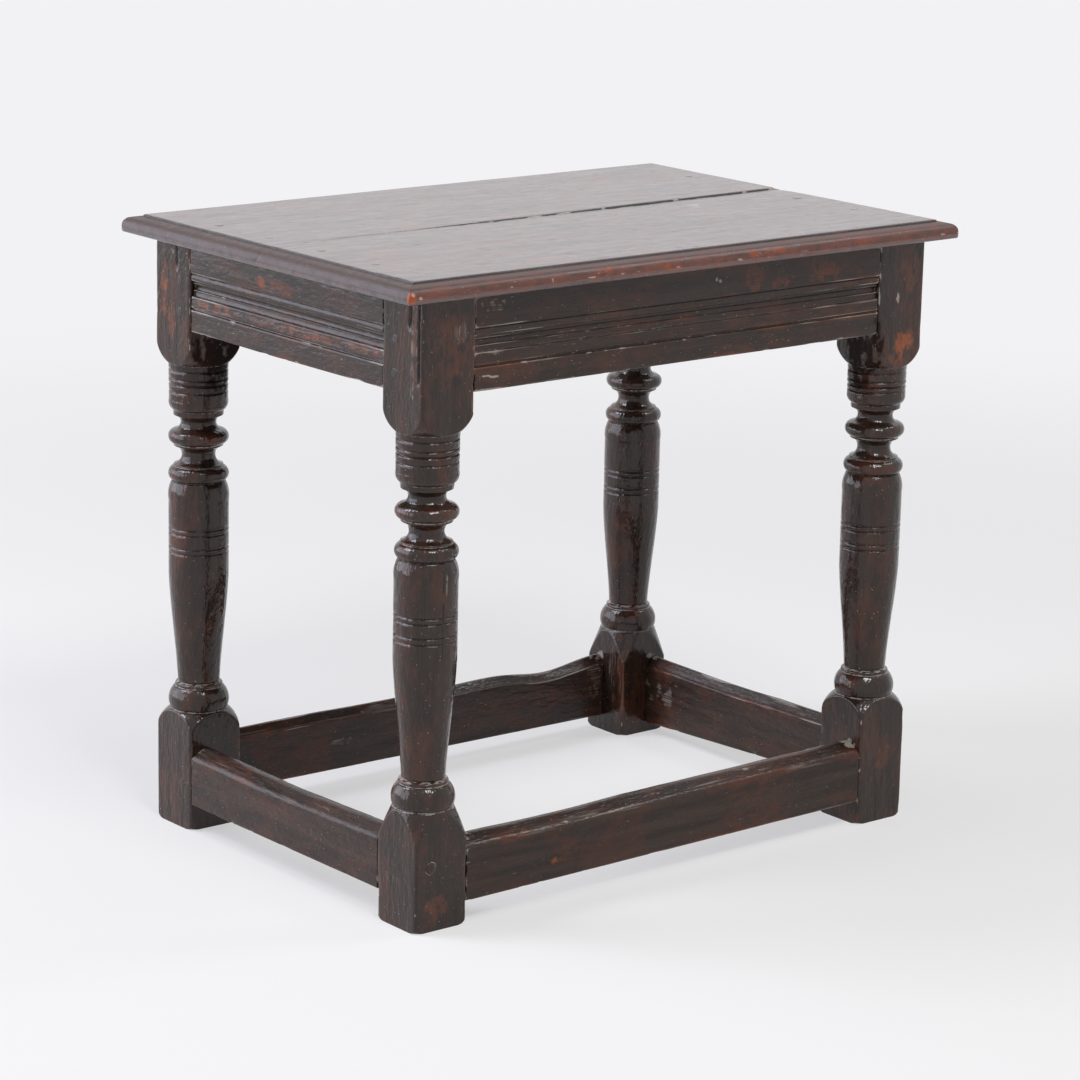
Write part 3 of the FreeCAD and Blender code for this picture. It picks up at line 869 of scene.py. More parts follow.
@dataclass
class TopBoard:
    """One of the two boards of the top, moulded on three sides. Sizes in millimetres."""

    name: str
    sign: int
    length: float
    depth: float
    low: float
    thickness: float
    seed: int
    joint: tuple[float, float] = (1.0, 18.0)
    joint_gap: float = 0.6
    lips: tuple[float, ...] = (0.0, 0.35, 0.9, 1.8, 3.0)
    quirk_inset: float = 15.5
    nose: float = 4.3
    step: float = 2.3

    def edge(self) -> Array:
        """Draw the moulded edge upwards.

        Returns:
            Rows of inset from the nose and height above the underside.
        """
        path = Path(0, self.nose)
        path.arc(5.5, self.thickness - 3.6, -0.14, 0.9)
        path.arc(self.quirk_inset - 1.0, self.thickness - 1.9, -0.03, 1.1)
        path.line(self.quirk_inset - 0.35, self.thickness - 3.0, 0.7)
        path.line(self.quirk_inset, self.thickness - 2.9, 0.7)
        path.line(self.quirk_inset + 0.35, self.thickness - 0.7, 3.0)
        path.line(self.quirk_inset + 1.2, self.thickness - 0.15, 0.5)
        path.line(self.quirk_inset + 3.0, self.thickness - 0.1, 1.0)
        return path.array()

    def places(self, half: float) -> Array:
        """Spread the points along one axis from nose to nose, finest in the moulding.

        Args:
            half: half the size of the top along that axis.

        Returns:
            The coordinates in order.
        """
        outer = half - self.edge()[:-1, 0]
        inner = half - self.edge()[-1, 0]
        middle = np.linspace(-inner, inner, math.ceil(inner * 2 / self.step))
        return np.concatenate([-outer, middle, outer[::-1]])

    def inset(self, x: Array, y: Array) -> Array:
        """How far points lie inside the nearest edge of the top."""
        return np.maximum(np.minimum(self.length / 2 - np.abs(x), self.depth / 2 - np.abs(y)), 0)

    def joint_line(self, x: Array) -> Array:
        """Draw the edge of this board at the tapering joint.

        Args:
            x: places along the board.

        Returns:
            Where the board ends, for each place.
        """
        left, right = self.joint
        share = x / self.length + 0.5
        ragged = np.abs(Noise(self.seed).at(np.stack([x, 0 * x, 0 * x], -1), (7, 9, 9)))
        gap = self.joint_gap / 2 + ragged * 0.7 * rise(share, 0.4, 0.8)
        return left + (right - left) * share + self.sign * (0.04 + gap * rise(share, 0.06, 0.5))

    def build(self) -> Skin:
        """Shape the board as rings that run over its upper side and back underneath.

        Returns:
            Skin of the board, in its place in the stool.
        """
        half_x, half_y = self.length / 2, self.depth / 2
        x = self.places(half_x)
        outer = self.sign * (half_y - self.edge()[::-1, 0])
        joint = self.joint_line(x)[:, None]
        lips = joint + self.sign * np.asarray(self.lips)
        count = math.ceil((half_y - self.quirk_inset) / self.step)
        shares = np.linspace(0, 1, count + 1)[1:-1]
        body = lips[:, -1:] + (outer[0] - lips[:, -1:]) * shares
        y = np.concatenate([lips, body, np.broadcast_to(outer, (len(x), len(outer)))], axis=1)
        x = x[:, None] + np.zeros_like(y)
        upper = self.upper_side(x, y, np.abs(y - joint))
        inset = self.inset(x, y)
        under = upper.points.copy()
        share = np.clip(inset / 2.2, 0, 1)
        under[..., 2] = self.low + self.nose * (1 - np.sqrt(1 - (1 - share) ** 2))
        below = Skin.of(under, upper.masks[Mask.WEAR] * np.exp(-inset / 2), 0.2)
        rings = [np.concatenate([above, beneath[:, ::-1]], axis=1) for above, beneath in
                 ((upper.points, below.points),
                  *((upper.masks[mask], below.masks[mask]) for mask in Mask))]
        return Skin(rings[0], dict(zip(Mask, rings[1:])))

    def upper_side(self, x: Array, y: Array, from_joint: Array) -> Skin:
        """Shape the upper side with its edge moulding, scuffs, grain and joint.

        Args:
            x: place of each point along the board.
            y: place of each point across the top.
            from_joint: distance of each point from the joint.

        Returns:
            Skin of the upper side.
        """
        half_x, half_y = self.length / 2, self.depth / 2
        inset = self.inset(x, y)
        at_end = (half_x - np.abs(x)) < (half_y - np.abs(y))
        edge = self.edge()
        high = self.low + np.interp(inset, edge[:, 0], edge[:, 1])
        at = np.stack([x, y, high], axis=-1)
        swell, planed, grain, dent, crumb, bite, waver, scuff, speckle, drag = fields(
            self.seed, at, (170, 60, 40), (60, 13, 20), (40, 3.4, 3), (12, 6, 6), (9, 5, 4),
            (14, 14, 6), (60, 60, 20), (90, 26, 9), (5, 5, 3), (30, 4, 3))
        flat = rise(inset, self.quirk_inset, self.quirk_inset + 2)
        dents = rise(dent, 0.62, 0.98)
        open_joint = rise(x, -0.4 * self.length, 0.1 * self.length)
        crumbs = rise(crumb, 0.0, 0.7) * np.exp(-from_joint / 1.6) * open_joint
        sunk = open_joint * np.exp(-from_joint / 30) if self.sign < 0 else 0.0
        high = high - 0.3 + flat * (0.28 * swell + 0.12 * planed + 0.07 * grain - 0.35 * dents)
        high = high - 0.7 * open_joint * np.exp(-from_joint / 0.5) - 1.0 * crumbs - 1.3 * sunk
        nose = np.exp(-inset / 3.0)
        push = nose * (0.4 + 0.3 * waver + 0.8 * rise(bite, 0.35, 0.9))
        corner = np.exp(-(half_x - np.abs(x)) / 2.2) * np.exp(-(half_y - np.abs(y)) / 2.2) * 1.2
        out_x = x - np.sign(x) * (np.where(at_end, push, 0) + corner)
        out_y = y - np.sign(y) * (np.where(at_end, 0, push) + corner)
        rubbed = rise(scuff, 0.0, 0.8)
        front = rise(-y, half_y - 26, half_y - 14) * (flat + (1 - flat) * (1 - at_end))
        wear = nose * (0.05 + 0.25 * front) * (0.8 + 0.8 * speckle) + 0.1 * rubbed * flat
        wear = wear + front * (0.15 * flat * rise(drag, 0.0, 0.7) + 0.25 * (1 - flat))
        quirk = hump(inset, self.quirk_inset - 0.1, 0.55)
        grime = 0.4 * dents * rise(speckle, 0.1, 0.6) + 1.3 * rise(crumbs, 0.2, 0.6)
        # Pale specks along the front nose are painted glints; the pale in its bites is dust.
        grime = grime + front * nose * (0.6 * rise(bite, 0.6, 0.95) + rise(speckle, 0.5, 0.75))
        # The quirk line and the open joint are darkened towards black.
        crack = quirk * (0.75 + 0.3 * drag) + open_joint * np.exp(-from_joint / 0.6)
        dull = 0.9 * (1 - flat)
        points = np.stack([out_x, out_y, np.minimum(high, self.low + self.thickness + 0.1)],
                          axis=-1)
        return Skin.of(points, wear, grime, crack, dull)


@dataclass(frozen=True)
class Peg:
    """A peg head on a face: its side, place along it, height and radius in millimetres."""

    side: Side
    along: float
    height: float
    radius: float = 4.3


@dataclass
class PegHeads:
    """Heads of the pegs that share one CAD node, cut off nearly flush and worn round."""

    name: str
    pegs: tuple[Peg, ...]
    distances: dict[Side, float]
    seed: int
    proud: float = 0.12
    dome: float = 4.0
    rim: float = 0.3
    depth: float = 3.0
    columns: int = 24
    facets: float = 0.06

    def head(self, peg: Peg, index: int) -> Skin:
        """Shape one head, a rough octagon with a worn end.

        Args:
            peg: place and size of the peg.
            index: number of the peg, which says how it is turned in its hole.

        Returns:
            Skin of the head.
        """
        angles = np.arange(self.columns) / self.columns * math.tau
        turn = (self.seed * 7 + index) % 5
        share = np.array([0.0, 0.35, 0.6, 0.78, 0.9, 0.97, 1.0, 1.0, 0.0])[:, None]
        inward = -self.proud * (1 - share ** self.dome) + 0 * angles
        inward[-3] = 0.5
        inward[-2:] = self.depth
        radius = share * peg.radius * (1 - self.facets * np.abs(np.sin((angles + turn) * 4)))
        tilt = radius * np.cos(angles + turn) * 0.03
        points = peg.side.place(peg.along + radius * np.cos(angles), inward + tilt,
                                peg.height + radius * np.sin(angles), self.distances[peg.side])
        rim = rise(share + 0 * angles, 0.82, 0.97)
        broken = rise(np.sin(angles * 2 + turn * 3) + 0 * share, -0.6, 0.6)
        return Skin.of(points, 0.1, rim * broken * self.rim, rim * (1 - broken) * self.rim)

    def build(self) -> list[Skin]:
        """Skins of all the heads."""
        return [self.head(peg, index) for index, peg in enumerate(self.pegs)]


@dataclass
class TopPegHeads:
    """Heads of the pegs that pin down one board, flush with the top."""

    name: str
    places: tuple[Triple, ...]
    height: float
    radius: float = 4.2
    columns: int = 20

    def head(self, x: float, y: float, clear: float) -> Skin:
        """Shape one round head with its rim.

        Args:
            x: middle of the head along the top.
            y: middle of the head across the top.
            clear: how clear the rim of the head is, from 0 to 1.

        Returns:
            Skin of the head.
        """
        angles = np.arange(self.columns) / self.columns * math.tau + x
        share = np.array([0.0, 0.5, 0.85, 0.97, 1.0, 1.0, 0.0])[:, None]
        drop = np.array([-0.1, -0.1, -0.15, -0.2, -0.4, -3.0, -3.0])[:, None] + 0 * angles
        drop = drop - 0.15 * (1 - clear)
        radius = share * self.radius * (1 - 0.08 * np.abs(np.sin(angles * 4)))
        points = np.stack([x + radius * np.cos(angles), y + radius * np.sin(angles),
                           self.height + drop], axis=-1)
        rim = rise(share + 0 * angles, 0.88, 1.0)
        return Skin.of(points, 0.1, 0.0, clear * rim * rise(np.sin(angles + y), -0.8, 0.5))

    def build(self) -> list[Skin]:
        """Skins of all the heads of the board."""
        return [self.head(*place) for place in self.places]


class Grain(Enum):
    """Direction of the grain in a piece."""

    ALONG_X = 0
    ALONG_Y = 1
    ALONG_Z = 2

    def scale(self, along: float, across: float) -> Triple:
        """Work out the scale that gives a pattern its real sizes in millimetres.

        Args:
            along: size along the grain.
            across: size across the grain.

        Returns:
            Scale along X, Y and Z for a Mapping node.
        """
        sizes = [across, across, across]
        sizes[self.value] = along
        return tuple(1 / (size * MM) for size in sizes)


class Tree:
    """The node tree of a new material or world."""

    def __init__(self, owner: bpy.types.Material | bpy.types.World) -> None:
        """Start an empty tree.

        Args:
            owner: the material or world that the tree belongs to.
        """
        owner.use_nodes = True
        self.nodes = owner.node_tree.nodes
        self.links = owner.node_tree.links
        self.nodes.clear()

    def add(self, kind: str, inputs: dict[str | int, object] | None = None,
            out: str | int = 0, **settings: object) -> bpy.types.NodeSocket | None:
        """Add a node with its settings and links.

        Args:
            kind: Blender's name of the node type, without its ShaderNode.
            inputs: for each input, by name or index, a value or the output that feeds it.
            out: name or index of the output wanted.
            settings: attributes of the node, such as its operation.

        Returns:
            The output wanted, or nothing for a node without outputs.
        """
        node = self.nodes.new("ShaderNode" + kind)
        for name, value in settings.items():
            setattr(node, name, value)
        for name, value in (inputs or {}).items():
            if isinstance(value, bpy.types.NodeSocket):
                self.links.new(value, node.inputs[name])
            else:
                node.inputs[name].default_value = value
        return node.outputs[out] if len(node.outputs) else None


@dataclass(frozen=True)
class Pattern:
    """Size of a noise pattern along and across the grain in millimetres."""

    along: float
    across: float
    detail: float = 2.0


@dataclass(frozen=True)
class StainedOak:
    """Oak stained near black, then waxed and handled for a very long time.

    The stain has faded unevenly to red brown, and is gone where hands and feet rub. The wax
    over it is glossy and lumpy, so lights break up on it. Old wax and dust stay pale in the
    grooves, and the same pale colour paints glints on crests, arrises and edges. Pale specks
    are partly painted glints. Near black marks cracks and paints shade in the bottoms of
    grooves, and a dark bare brown paints shade on the leg heads under the rails. Pores are
    drawn 0.7 mm wide, about twice their width, so that they show.
    """

    name: str
    grain: Grain
    offset: float = 0.0
    deep: str = "#231711"
    stain: str = "#2f221b"
    streak: str = "#443026"
    warm: str = "#552d1d"
    rubbed: str = "#8e491b"
    # Dark brown where the wax is lost; on the frame it paints shade under the rails.
    bare: str = "#1d1613"
    # Pale colour of old wax and dust, also used for painted glints on crests, arrises and the nose.
    dust_and_glint: str = "#aaa299"
    # Pale specks and scratches; the specks are partly painted glints.
    mote_and_glint: str = "#c9c2b9"
    # Near black of cracks and joints, also painted shade in the bottoms of grooves.
    depths: str = "#060403"
    veil: str = "#d9b3ad"
    ring: Pattern = Pattern(150.0, 11.0, 3.0)
    fibre: Pattern = Pattern(40.0, 1.1, 3.0)
    patch: Pattern = Pattern(48.0, 24.0, 3.0)
    mottle: Pattern = Pattern(12.0, 5.0, 2.0)
    pore: Pattern = Pattern(9.0, 0.7, 1.0)
    speck: Pattern = Pattern(1.4, 1.4, 1.0)
    scratch: Pattern = Pattern(7.0, 1.0, 1.0)
    dent: Pattern = Pattern(16.0, 6.0, 2.0)
    lump: Pattern = Pattern(5.0, 2.6, 1.0)
    streaks: float = 0.45
    warmth: float = 0.5
    warm_from: float = 0.62
    pores: float = 0.6
    # Where the pale specks, partly painted glints, begin.
    motes_and_glints: float = 0.76
    roughness: tuple[float, float] = (0.30, 0.48)
    ior: float = 1.45
    specular: float = 0.2
    coat: float = 0.35
    coat_roughness: float = 0.2
    sheen: float = 0.0
    dents: float = 0.5
    lumps: float = 0.5
    fibres: float = 0.25

    def field(self, tree: Tree, pattern: Pattern) -> bpy.types.NodeSocket:
        """Stretch a noise along the grain to the real sizes of a pattern.

        Args:
            tree: tree of the material.
            pattern: real sizes of the pattern.

        Returns:
            Value of the noise.
        """
        place = tree.add("TexCoord", out="Object")
        scale = self.grain.scale(pattern.along, pattern.across)
        mapped = tree.add("Mapping", {"Vector": place, "Scale": scale,
                                      "Location": (self.offset, self.offset * 2, -self.offset)})
        return tree.add("TexNoise", {"Vector": mapped, "Scale": 1.0, "Detail": pattern.detail,
                                     "Roughness": 0.55})

    def material(self) -> bpy.types.Material:
        """Build the material as layers of colour over the deepest stain.

        Returns:
            The new material.
        """
        material = bpy.data.materials.new(self.name)
        tree = Tree(material)
        wear, grime, crack, dull = (tree.add("Attribute", out="Fac", attribute_name=mask.value)
                                    for mask in Mask)
        ring, fibre, patch, mottle, pore, speck, scratch, dent, lump = (
            self.field(tree, pattern) for pattern in
            (self.ring, self.fibre, self.patch, self.mottle, self.pore, self.speck,
             self.scratch, self.dent, self.lump))
        layers = (
            (ring, 1.0, 0.0, 0.35, 0.68, 0.85, self.stain),
            (fibre, 1.0, 0.0, 0.48, 0.72, self.streaks, self.streak),
            (mottle, 0.35, patch, self.warm_from, self.warm_from + 0.25, self.warmth, self.warm),
            # Lost wax, and painted shade on the leg heads under the rails.
            (mottle, 0.2, dull, 0.30, 0.90, 0.8, self.bare),
            (mottle, 0.6, wear, 0.40, 0.80, 0.8, self.warm),
            (mottle, 0.8, wear, 0.90, 1.35, 0.9, self.rubbed),
            (pore, 1.0, 0.0, 0.58, 0.70, self.pores, self.deep),
            # Cracks and joints, and painted shade in groove bottoms and chips.
            (speck, 0.4, crack, 0.50, 0.75, 1.0, self.depths),
            # Old wax and dust, and painted glints.
            (fibre, 0.8, grime, 0.80, 1.20, 0.75, self.dust_and_glint),
            (scratch, 1.0, 0.0, 0.78, 0.82, 0.45, self.mote_and_glint),
            # Pale specks, partly painted glints.
            (speck, 1.0, 0.0, self.motes_and_glints, self.motes_and_glints + 0.03, 0.8, self.mote_and_glint),
        )
        colour = linear(self.deep)
        for texture, factor, base, low, high, strength, shade in layers:
            total = tree.add("Math", {0: texture, 1: factor, 2: base}, operation="MULTIPLY_ADD")
            amount = tree.add("MapRange", {"Value": total, "From Min": low, "From Max": high,
                                           "To Max": strength}, interpolation_type="SMOOTHSTEP")
            colour = tree.add("Mix", {0: amount, 6: colour, 7: linear(shade)}, 2,
                              data_type="RGBA")
        polish = tree.add("Math", {0: grime, 1: 0.5, 2: mottle}, operation="MULTIPLY_ADD")
        low, high = self.roughness
        rough = tree.add("MapRange", {"Value": polish, "From Min": 0.35, "From Max": 0.75,
                                      "To Min": low, "To Max": high})
        open_grain = tree.add("Math", {0: pore, 1: -0.8, 2: fibre}, operation="MULTIPLY_ADD")
        normal = tree.add("NewGeometry", out="Normal")
        normals = []
        for height, strength, depth_mm in ((dent, self.dents, 1.4), (lump, self.lumps, 0.6),
                                           (open_grain, self.fibres, 0.35)):
            normal = tree.add("Bump", {"Height": height, "Strength": strength,
                                       "Distance": depth_mm * MM, "Normal": normal})
            normals.append(normal)
        # Lost wax, and the painted shade under the rails, take the coat away.
        wax = tree.add("Math", {0: dull, 1: -self.coat, 2: self.coat}, operation="MULTIPLY_ADD")
        surface = tree.add("BsdfPrincipled", {
            "Base Color": colour, "Roughness": rough, "Normal": normal, "IOR": self.ior,
            "Specular IOR Level": self.specular, "Coat Weight": wax,
            "Coat Roughness": self.coat_roughness, "Coat Normal": normals[1],
            "Sheen Weight": self.sheen, "Sheen Roughness": 0.35,
            "Sheen Tint": linear(self.veil)})
        tree.add("OutputMaterial", {"Surface": surface})
        return material


@dataclass(frozen=True)
class PaperFloor:
    """Matt white studio paper that runs into an even white distance."""

    colour: str = "#edebe6"
    cloud_colour: str = "#efede9"
    distance_colour: str = DISTANT_WHITE
    glare: float = 0.56
    fade: tuple[float, float] = (0.9, 2.6)
    radius: float = 14.0

    def material(self) -> bpy.types.Material:
        """Build paper near the stool, which takes its shadow, and plain white far from it.

        Returns:
            The new material.
        """
        material = bpy.data.materials.new("matt_studio_paper")
        tree = Tree(material)
        place = tree.add("TexCoord", out="Object")
        cloud = tree.add("TexNoise", {"Vector": place, "Scale": 1.3, "Detail": 2.0})
        colour = tree.add("Mix", {0: cloud, 6: linear(self.colour),
                                  7: linear(self.cloud_colour)}, 2, data_type="RGBA")
        paper = tree.add("BsdfPrincipled", {"Base Color": colour, "Roughness": 0.8,
                                            "Specular IOR Level": 0.2})
        white = tree.add("Emission", {"Color": linear(self.distance_colour), "Strength": 1.0})
        away = tree.add("VectorMath", {0: place}, "Value", operation="LENGTH")
        far = tree.add("MapRange", {"Value": away, "From Min": self.fade[0],
                                    "From Max": self.fade[1], "To Min": self.glare},
                       interpolation_type="SMOOTHSTEP")
        far = tree.add("Math", {0: far, 1: seen_ray(tree)}, operation="MULTIPLY")
        tree.add("OutputMaterial", {"Surface": tree.add("MixShader", {0: far, 1: paper,
                                                                      2: white})})
        return material

    def build(self) -> None:
        """Lay the paper."""
        corners = [(x, y, 0) for x, y in ((-1, -1), (1, -1), (1, 1), (-1, 1))]
        mesh = bpy.data.meshes.new("paper_floor")
        mesh.from_pydata([Vector(corner) * self.radius for corner in corners], [], [(0, 1, 2, 3)])
        mesh.materials.append(self.material())
        floor = bpy.data.objects.new("paper_floor", mesh)
        bpy.context.scene.collection.objects.link(floor)


def seen_ray(tree: Tree) -> bpy.types.NodeSocket:
    """Tell the rays that see a surface from those that only carry light.

    Args:
        tree: tree of the material or world.

    Returns:
        One for a ray that the camera or a reflection sends, and zero for one of bounced light.
    """
    seen = 0.0
    for ray in ("Is Camera Ray", "Is Glossy Ray", "Is Transmission Ray"):
        seen = tree.add("Math", {0: tree.add("LightPath", out=ray), 1: seen},
                        operation="MAXIMUM")
    return seen


@dataclass(frozen=True)
class SoftBox:
    """A soft light that looks at the stool. Metres and watts."""

    name: str
    place: Triple
    size: tuple[float, float]
    power: float
    colour: str

    def build(self) -> None:
        """Hang the light."""
        data = bpy.data.lights.new(self.name, "AREA")
        data.color = linear(self.colour)[:3]
        data.shape = "RECTANGLE"
        data.size, data.size_y = self.size
        data.energy = self.power
        lamp = bpy.data.objects.new(self.name, data)
        bpy.context.scene.collection.objects.link(lamp)
        lamp.location = self.place
        lamp.rotation_mode = "QUATERNION"
        towards = Vector((0, 0, 0.3)) - Vector(self.place)
        lamp.rotation_quaternion = towards.to_track_quat("-Z", "Y")


@dataclass(frozen=True)
class Studio:
    """Camera, lights and white surroundings."""

    azimuth: float = -39.037
    elevation: float = 14.119
    roll: float = 1.22
    distance: float = 3.54051
    aim: Triple = (-0.00952, -0.01629, 0.27464)
    lens: float = 127.1
    sensor: float = 36.0
    fill: float = 0.26
    lights: tuple[SoftBox, ...] = (
        SoftBox("panel_left_back", (-2.6, 2.0, 1.2), (4.2, 2.2), 88.0, "#ebeeff"),
        SoftBox("box_front_high", (-0.4, -1.8, 2.7), (1.0, 0.8), 43.0, "#ffffff"),
        SoftBox("box_right_high", (1.8, -0.8, 2.7), (0.6, 0.6), 12.0, "#ffffff"),
        SoftBox("box_left_high", (-1.7, 1.3, 2.7), (1.1, 1.1), 50.0, "#ebeeff"),
    )

    def camera(self) -> None:
        """Stand the camera where the photograph was taken from."""
        data = bpy.data.cameras.new("camera")
        data.lens = self.lens
        data.sensor_width = self.sensor
        camera = bpy.data.objects.new("camera", data)
        bpy.context.scene.collection.objects.link(camera)
        azimuth, elevation = math.radians(self.azimuth), math.radians(self.elevation)
        away = Vector((math.sin(azimuth) * math.cos(elevation),
                       -math.cos(azimuth) * math.cos(elevation), math.sin(elevation)))
        camera.location = Vector(self.aim) + away * self.distance
        camera.rotation_mode = "QUATERNION"
        level = (-away).to_track_quat("-Z", "Y")
        camera.rotation_quaternion = Quaternion(away, math.radians(self.roll)) @ level
        bpy.context.scene.camera = camera

    def world(self) -> None:
        """Even light from all round, seen as white by the camera and in reflections."""
        world = bpy.data.worlds.new("white_studio")
        tree = Tree(world)
        light = tree.add("Background", {"Strength": self.fill})
        white = tree.add("Background", {"Color": linear(DISTANT_WHITE), "Strength": 1.0})
        mixed = tree.add("MixShader", {0: seen_ray(tree), 1: light, 2: white})
        tree.add("OutputWorld", {"Surface": mixed})
        bpy.context.scene.world = world

    def build(self) -> None:
        """Set up everything round the stool."""
        self.camera()
        self.world()
        for light in self.lights:
            light.build()
        PaperFloor().build()


class Stool:
    """All pieces of the stool, placed from the boxes of the CAD nodes."""

    # Marks of use in the photograph, and a few of painted glint and shade: middle, reach and
    # strength of each.
    marks: dict[Mask, tuple[Mark, ...]] = {
        Mask.WEAR: (
            # On the front edge of the top.
            Mark((-314, -219, 565), (6, 4, 7), 1.1), Mark((-290, -218, 567), (22, 6, 5), 0.5),
            Mark((-105, -218, 567), (14, 6, 5), 0.7), Mark((-35, -218, 566), (9, 5, 5), 0.9),
            Mark((75, -218, 567), (28, 6, 5), 0.7), Mark((180, -218, 567), (30, 6, 5), 0.6),
            # On the rails.
            Mark((-289, 12, 536), (4, 40, 7), 0.55), Mark((-289, 38, 537), (4, 14, 5), 0.75),
            Mark((-289, 110, 501), (4, 38, 5), 0.65), Mark((-289, -25, 500), (4, 60, 5), 0.65),
            Mark((-289, -125, 503), (4, 30, 5), 0.6), Mark((80, -201, 541), (12, 4, 12), 0.55),
            Mark((112, -201, 536), (11, 4, 9), 0.5), Mark((165, -201, 541), (22, 4, 12), 0.55),
            # On the heads of the legs.
            Mark((-290, 188, 505), (5, 7, 30), 0.7), Mark((-290, 177, 480), (5, 8, 16), 0.6),
            Mark((-290, -191, 518), (5, 5, 45), 0.5), Mark((-262, -202, 515), (24, 4, 40), 0.35),
            Mark((-252, -202, 492), (5, 4, 5), 0.5), Mark((268, -202, 462), (13, 6, 17), 0.85),
            Mark((262, -202, 446), (16, 6, 8), 0.65), Mark((270, -202, 530), (14, 4, 24), 0.45),
            # On the feet and the ends of the stretchers.
            Mark((-270, -202, 22), (14, 6, 13), 0.5), Mark((264, -202, 62), (12, 6, 14), 0.5),
            Mark((235, 147, 70), (7, 7, 40), 0.45),
            # On the stretchers.
            Mark((-134, -201, 38), (6, 4, 4), 0.8),
            # On the boards.
            Mark((-235, -125, 575), (55, 60, 3), 0.3), Mark((-150, -182, 575), (70, 14, 3), 0.4),
        ),
        Mask.GRIME: (
            # On the front edge of the top, at its near corner: a painted glint.
            Mark((-312, -218, 567), (1.6, 2, 1.6), 1.3),
            # On the rails.
            Mark((35, -201, 544), (1.8, 2, 1.8), 1.4), Mark((39, -201, 542), (1.4, 2, 2.0), 1.4),
            Mark((-224, -201, 486), (7, 3, 1.1), 1.3), Mark((-213, -201, 484.6), (5, 3, 1.1), 1.3),
            Mark((-120, -201, 506), (60, 4, 4), 0.4), Mark((-212, -201, 547), (24, 4, 7), 0.54),
            Mark((-216, -201, 511), (22, 4, 10), 0.55), Mark((230, -201, 513), (5, 4, 9), 0.55),
            # On the stretchers.
            Mark((56, -200, 38), (1.6, 2, 1.4), 1.4), Mark((-43, -200, 27), (1.6, 2, 1.3), 1.4),
            Mark((26, -200, 20), (2.4, 2, 1.3), 1.4), Mark((-92, 177, 45), (18, 4, 5), 0.5),
            Mark((265, 130, 45), (4, 32, 14), 0.55), Mark((222, 176, 55), (14, 4, 30), 0.5),
            # On the heads of the legs.
            Mark((258, -202, 506), (3, 3, 6), 0.8), Mark((-248, -202, 525), (14, 4, 12), 0.44),
            Mark((-290, -190, 505), (4, 6, 44), 0.5),
            # On the boards.
            Mark((165, -18, 575), (8, 2.4, 3), 1.6), Mark((160, -32, 575), (2.4, 8, 3), 1.6),
            # On the near column.
            Mark((-261, -202, 305), (1.8, 5, 24), 0.52),
            # On the feet and the ends of the stretchers.
            Mark((234, 160, 60), (9, 12, 40), 0.44), Mark((230, -190, 78), (8, 12, 5), 0.8),
            Mark((228, 184, 78), (8, 12, 6), 0.8), Mark((272, 142, 79), (10, 6, 5), 0.8),
            Mark((-226, -190, 77), (8, 12, 5), 0.7), Mark((-290, -171, 41), (4, 7, 7), 0.45),
        ),
        Mask.CRACK: (
            # On the near column.
            Mark((-264, -202, 287), (1.3, 5, 40), 1.0),
            # On the feet and the ends of the stretchers.
            Mark((-290, -171, 41), (4, 5, 5), 0.6),
            # On the rails.
            Mark((-289, 70, 510), (3, 1.8, 1.8), 1.2), Mark((-289, 56, 510.5), (3, 1.6, 1.6), 1.2),
            Mark((-289, 81, 501), (3, 1.6, 1.6), 1.2), Mark((-289, -91, 544), (3, 1.8, 1.8), 1.2),
            # On the boards.
            Mark((-74, 152, 575), (44, 1.6, 3), 0.9), Mark((-201, 159, 575), (18, 1.6, 3), 0.9),
            Mark((-172, 154, 575), (14, 1.4, 3), 0.9), Mark((-148, 77, 575), (22, 1.4, 3), 0.8),
            Mark((60, 120, 575), (30, 1.4, 3), 0.6),
        ),
        Mask.DULL: (
            # On the heads of the legs, below the rails: painted shade.
            Mark((-255, 146, 458), (32, 14, 44), 1.2), Mark((234, -182, 455), (10, 28, 40), 1.2),
        ),
    }

    def __init__(self) -> None:
        """Read the driving sizes from the frame."""
        low, high = (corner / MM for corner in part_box("leg_front_left"))
        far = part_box("leg_back_right")[1] / MM
        self.square = high.x - low.x
        self.leg_length = high.z
        self.reach = {Side.FRONT: -low.y, Side.LEFT: -low.x, Side.BACK: far.y, Side.RIGHT: far.x}
        board_low, board_high = (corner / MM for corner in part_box("top_board_front"))
        self.top_length = board_high.x - board_low.x
        self.top_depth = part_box("top_board_back")[1].y / MM - board_low.y
        self.top_low = board_low.z
        self.top_thickness = board_high.z - board_low.z

    def shoulder(self, side: Side) -> float:
        """Half the clear length between the two legs of a side."""
        return self.reach[Side.BACK if side.short else Side.RIGHT] - self.square

    def add(self, name: str, node: str, skins: list[Skin], slot: str, finish: StainedOak) -> None:
        """Make one piece, dress it and let it stand for its node.

        Args:
            name: name of the piece.
            node: CAD node that the piece stands for.
            skins: closed grids that make up the piece.
            slot: not used.
            finish: look of its wood.
        """
        for skin, (mask, marks) in itertools.product(skins, self.marks.items()):
            for mark in marks:
                mark.leave_on(skin, mask)
        piece = to_object(name, skins)
        piece.data.materials.append(finish.material())
        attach(piece, BODY)
        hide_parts(node)
        log.info("%s: %d points", name, len(piece.data.vertices))

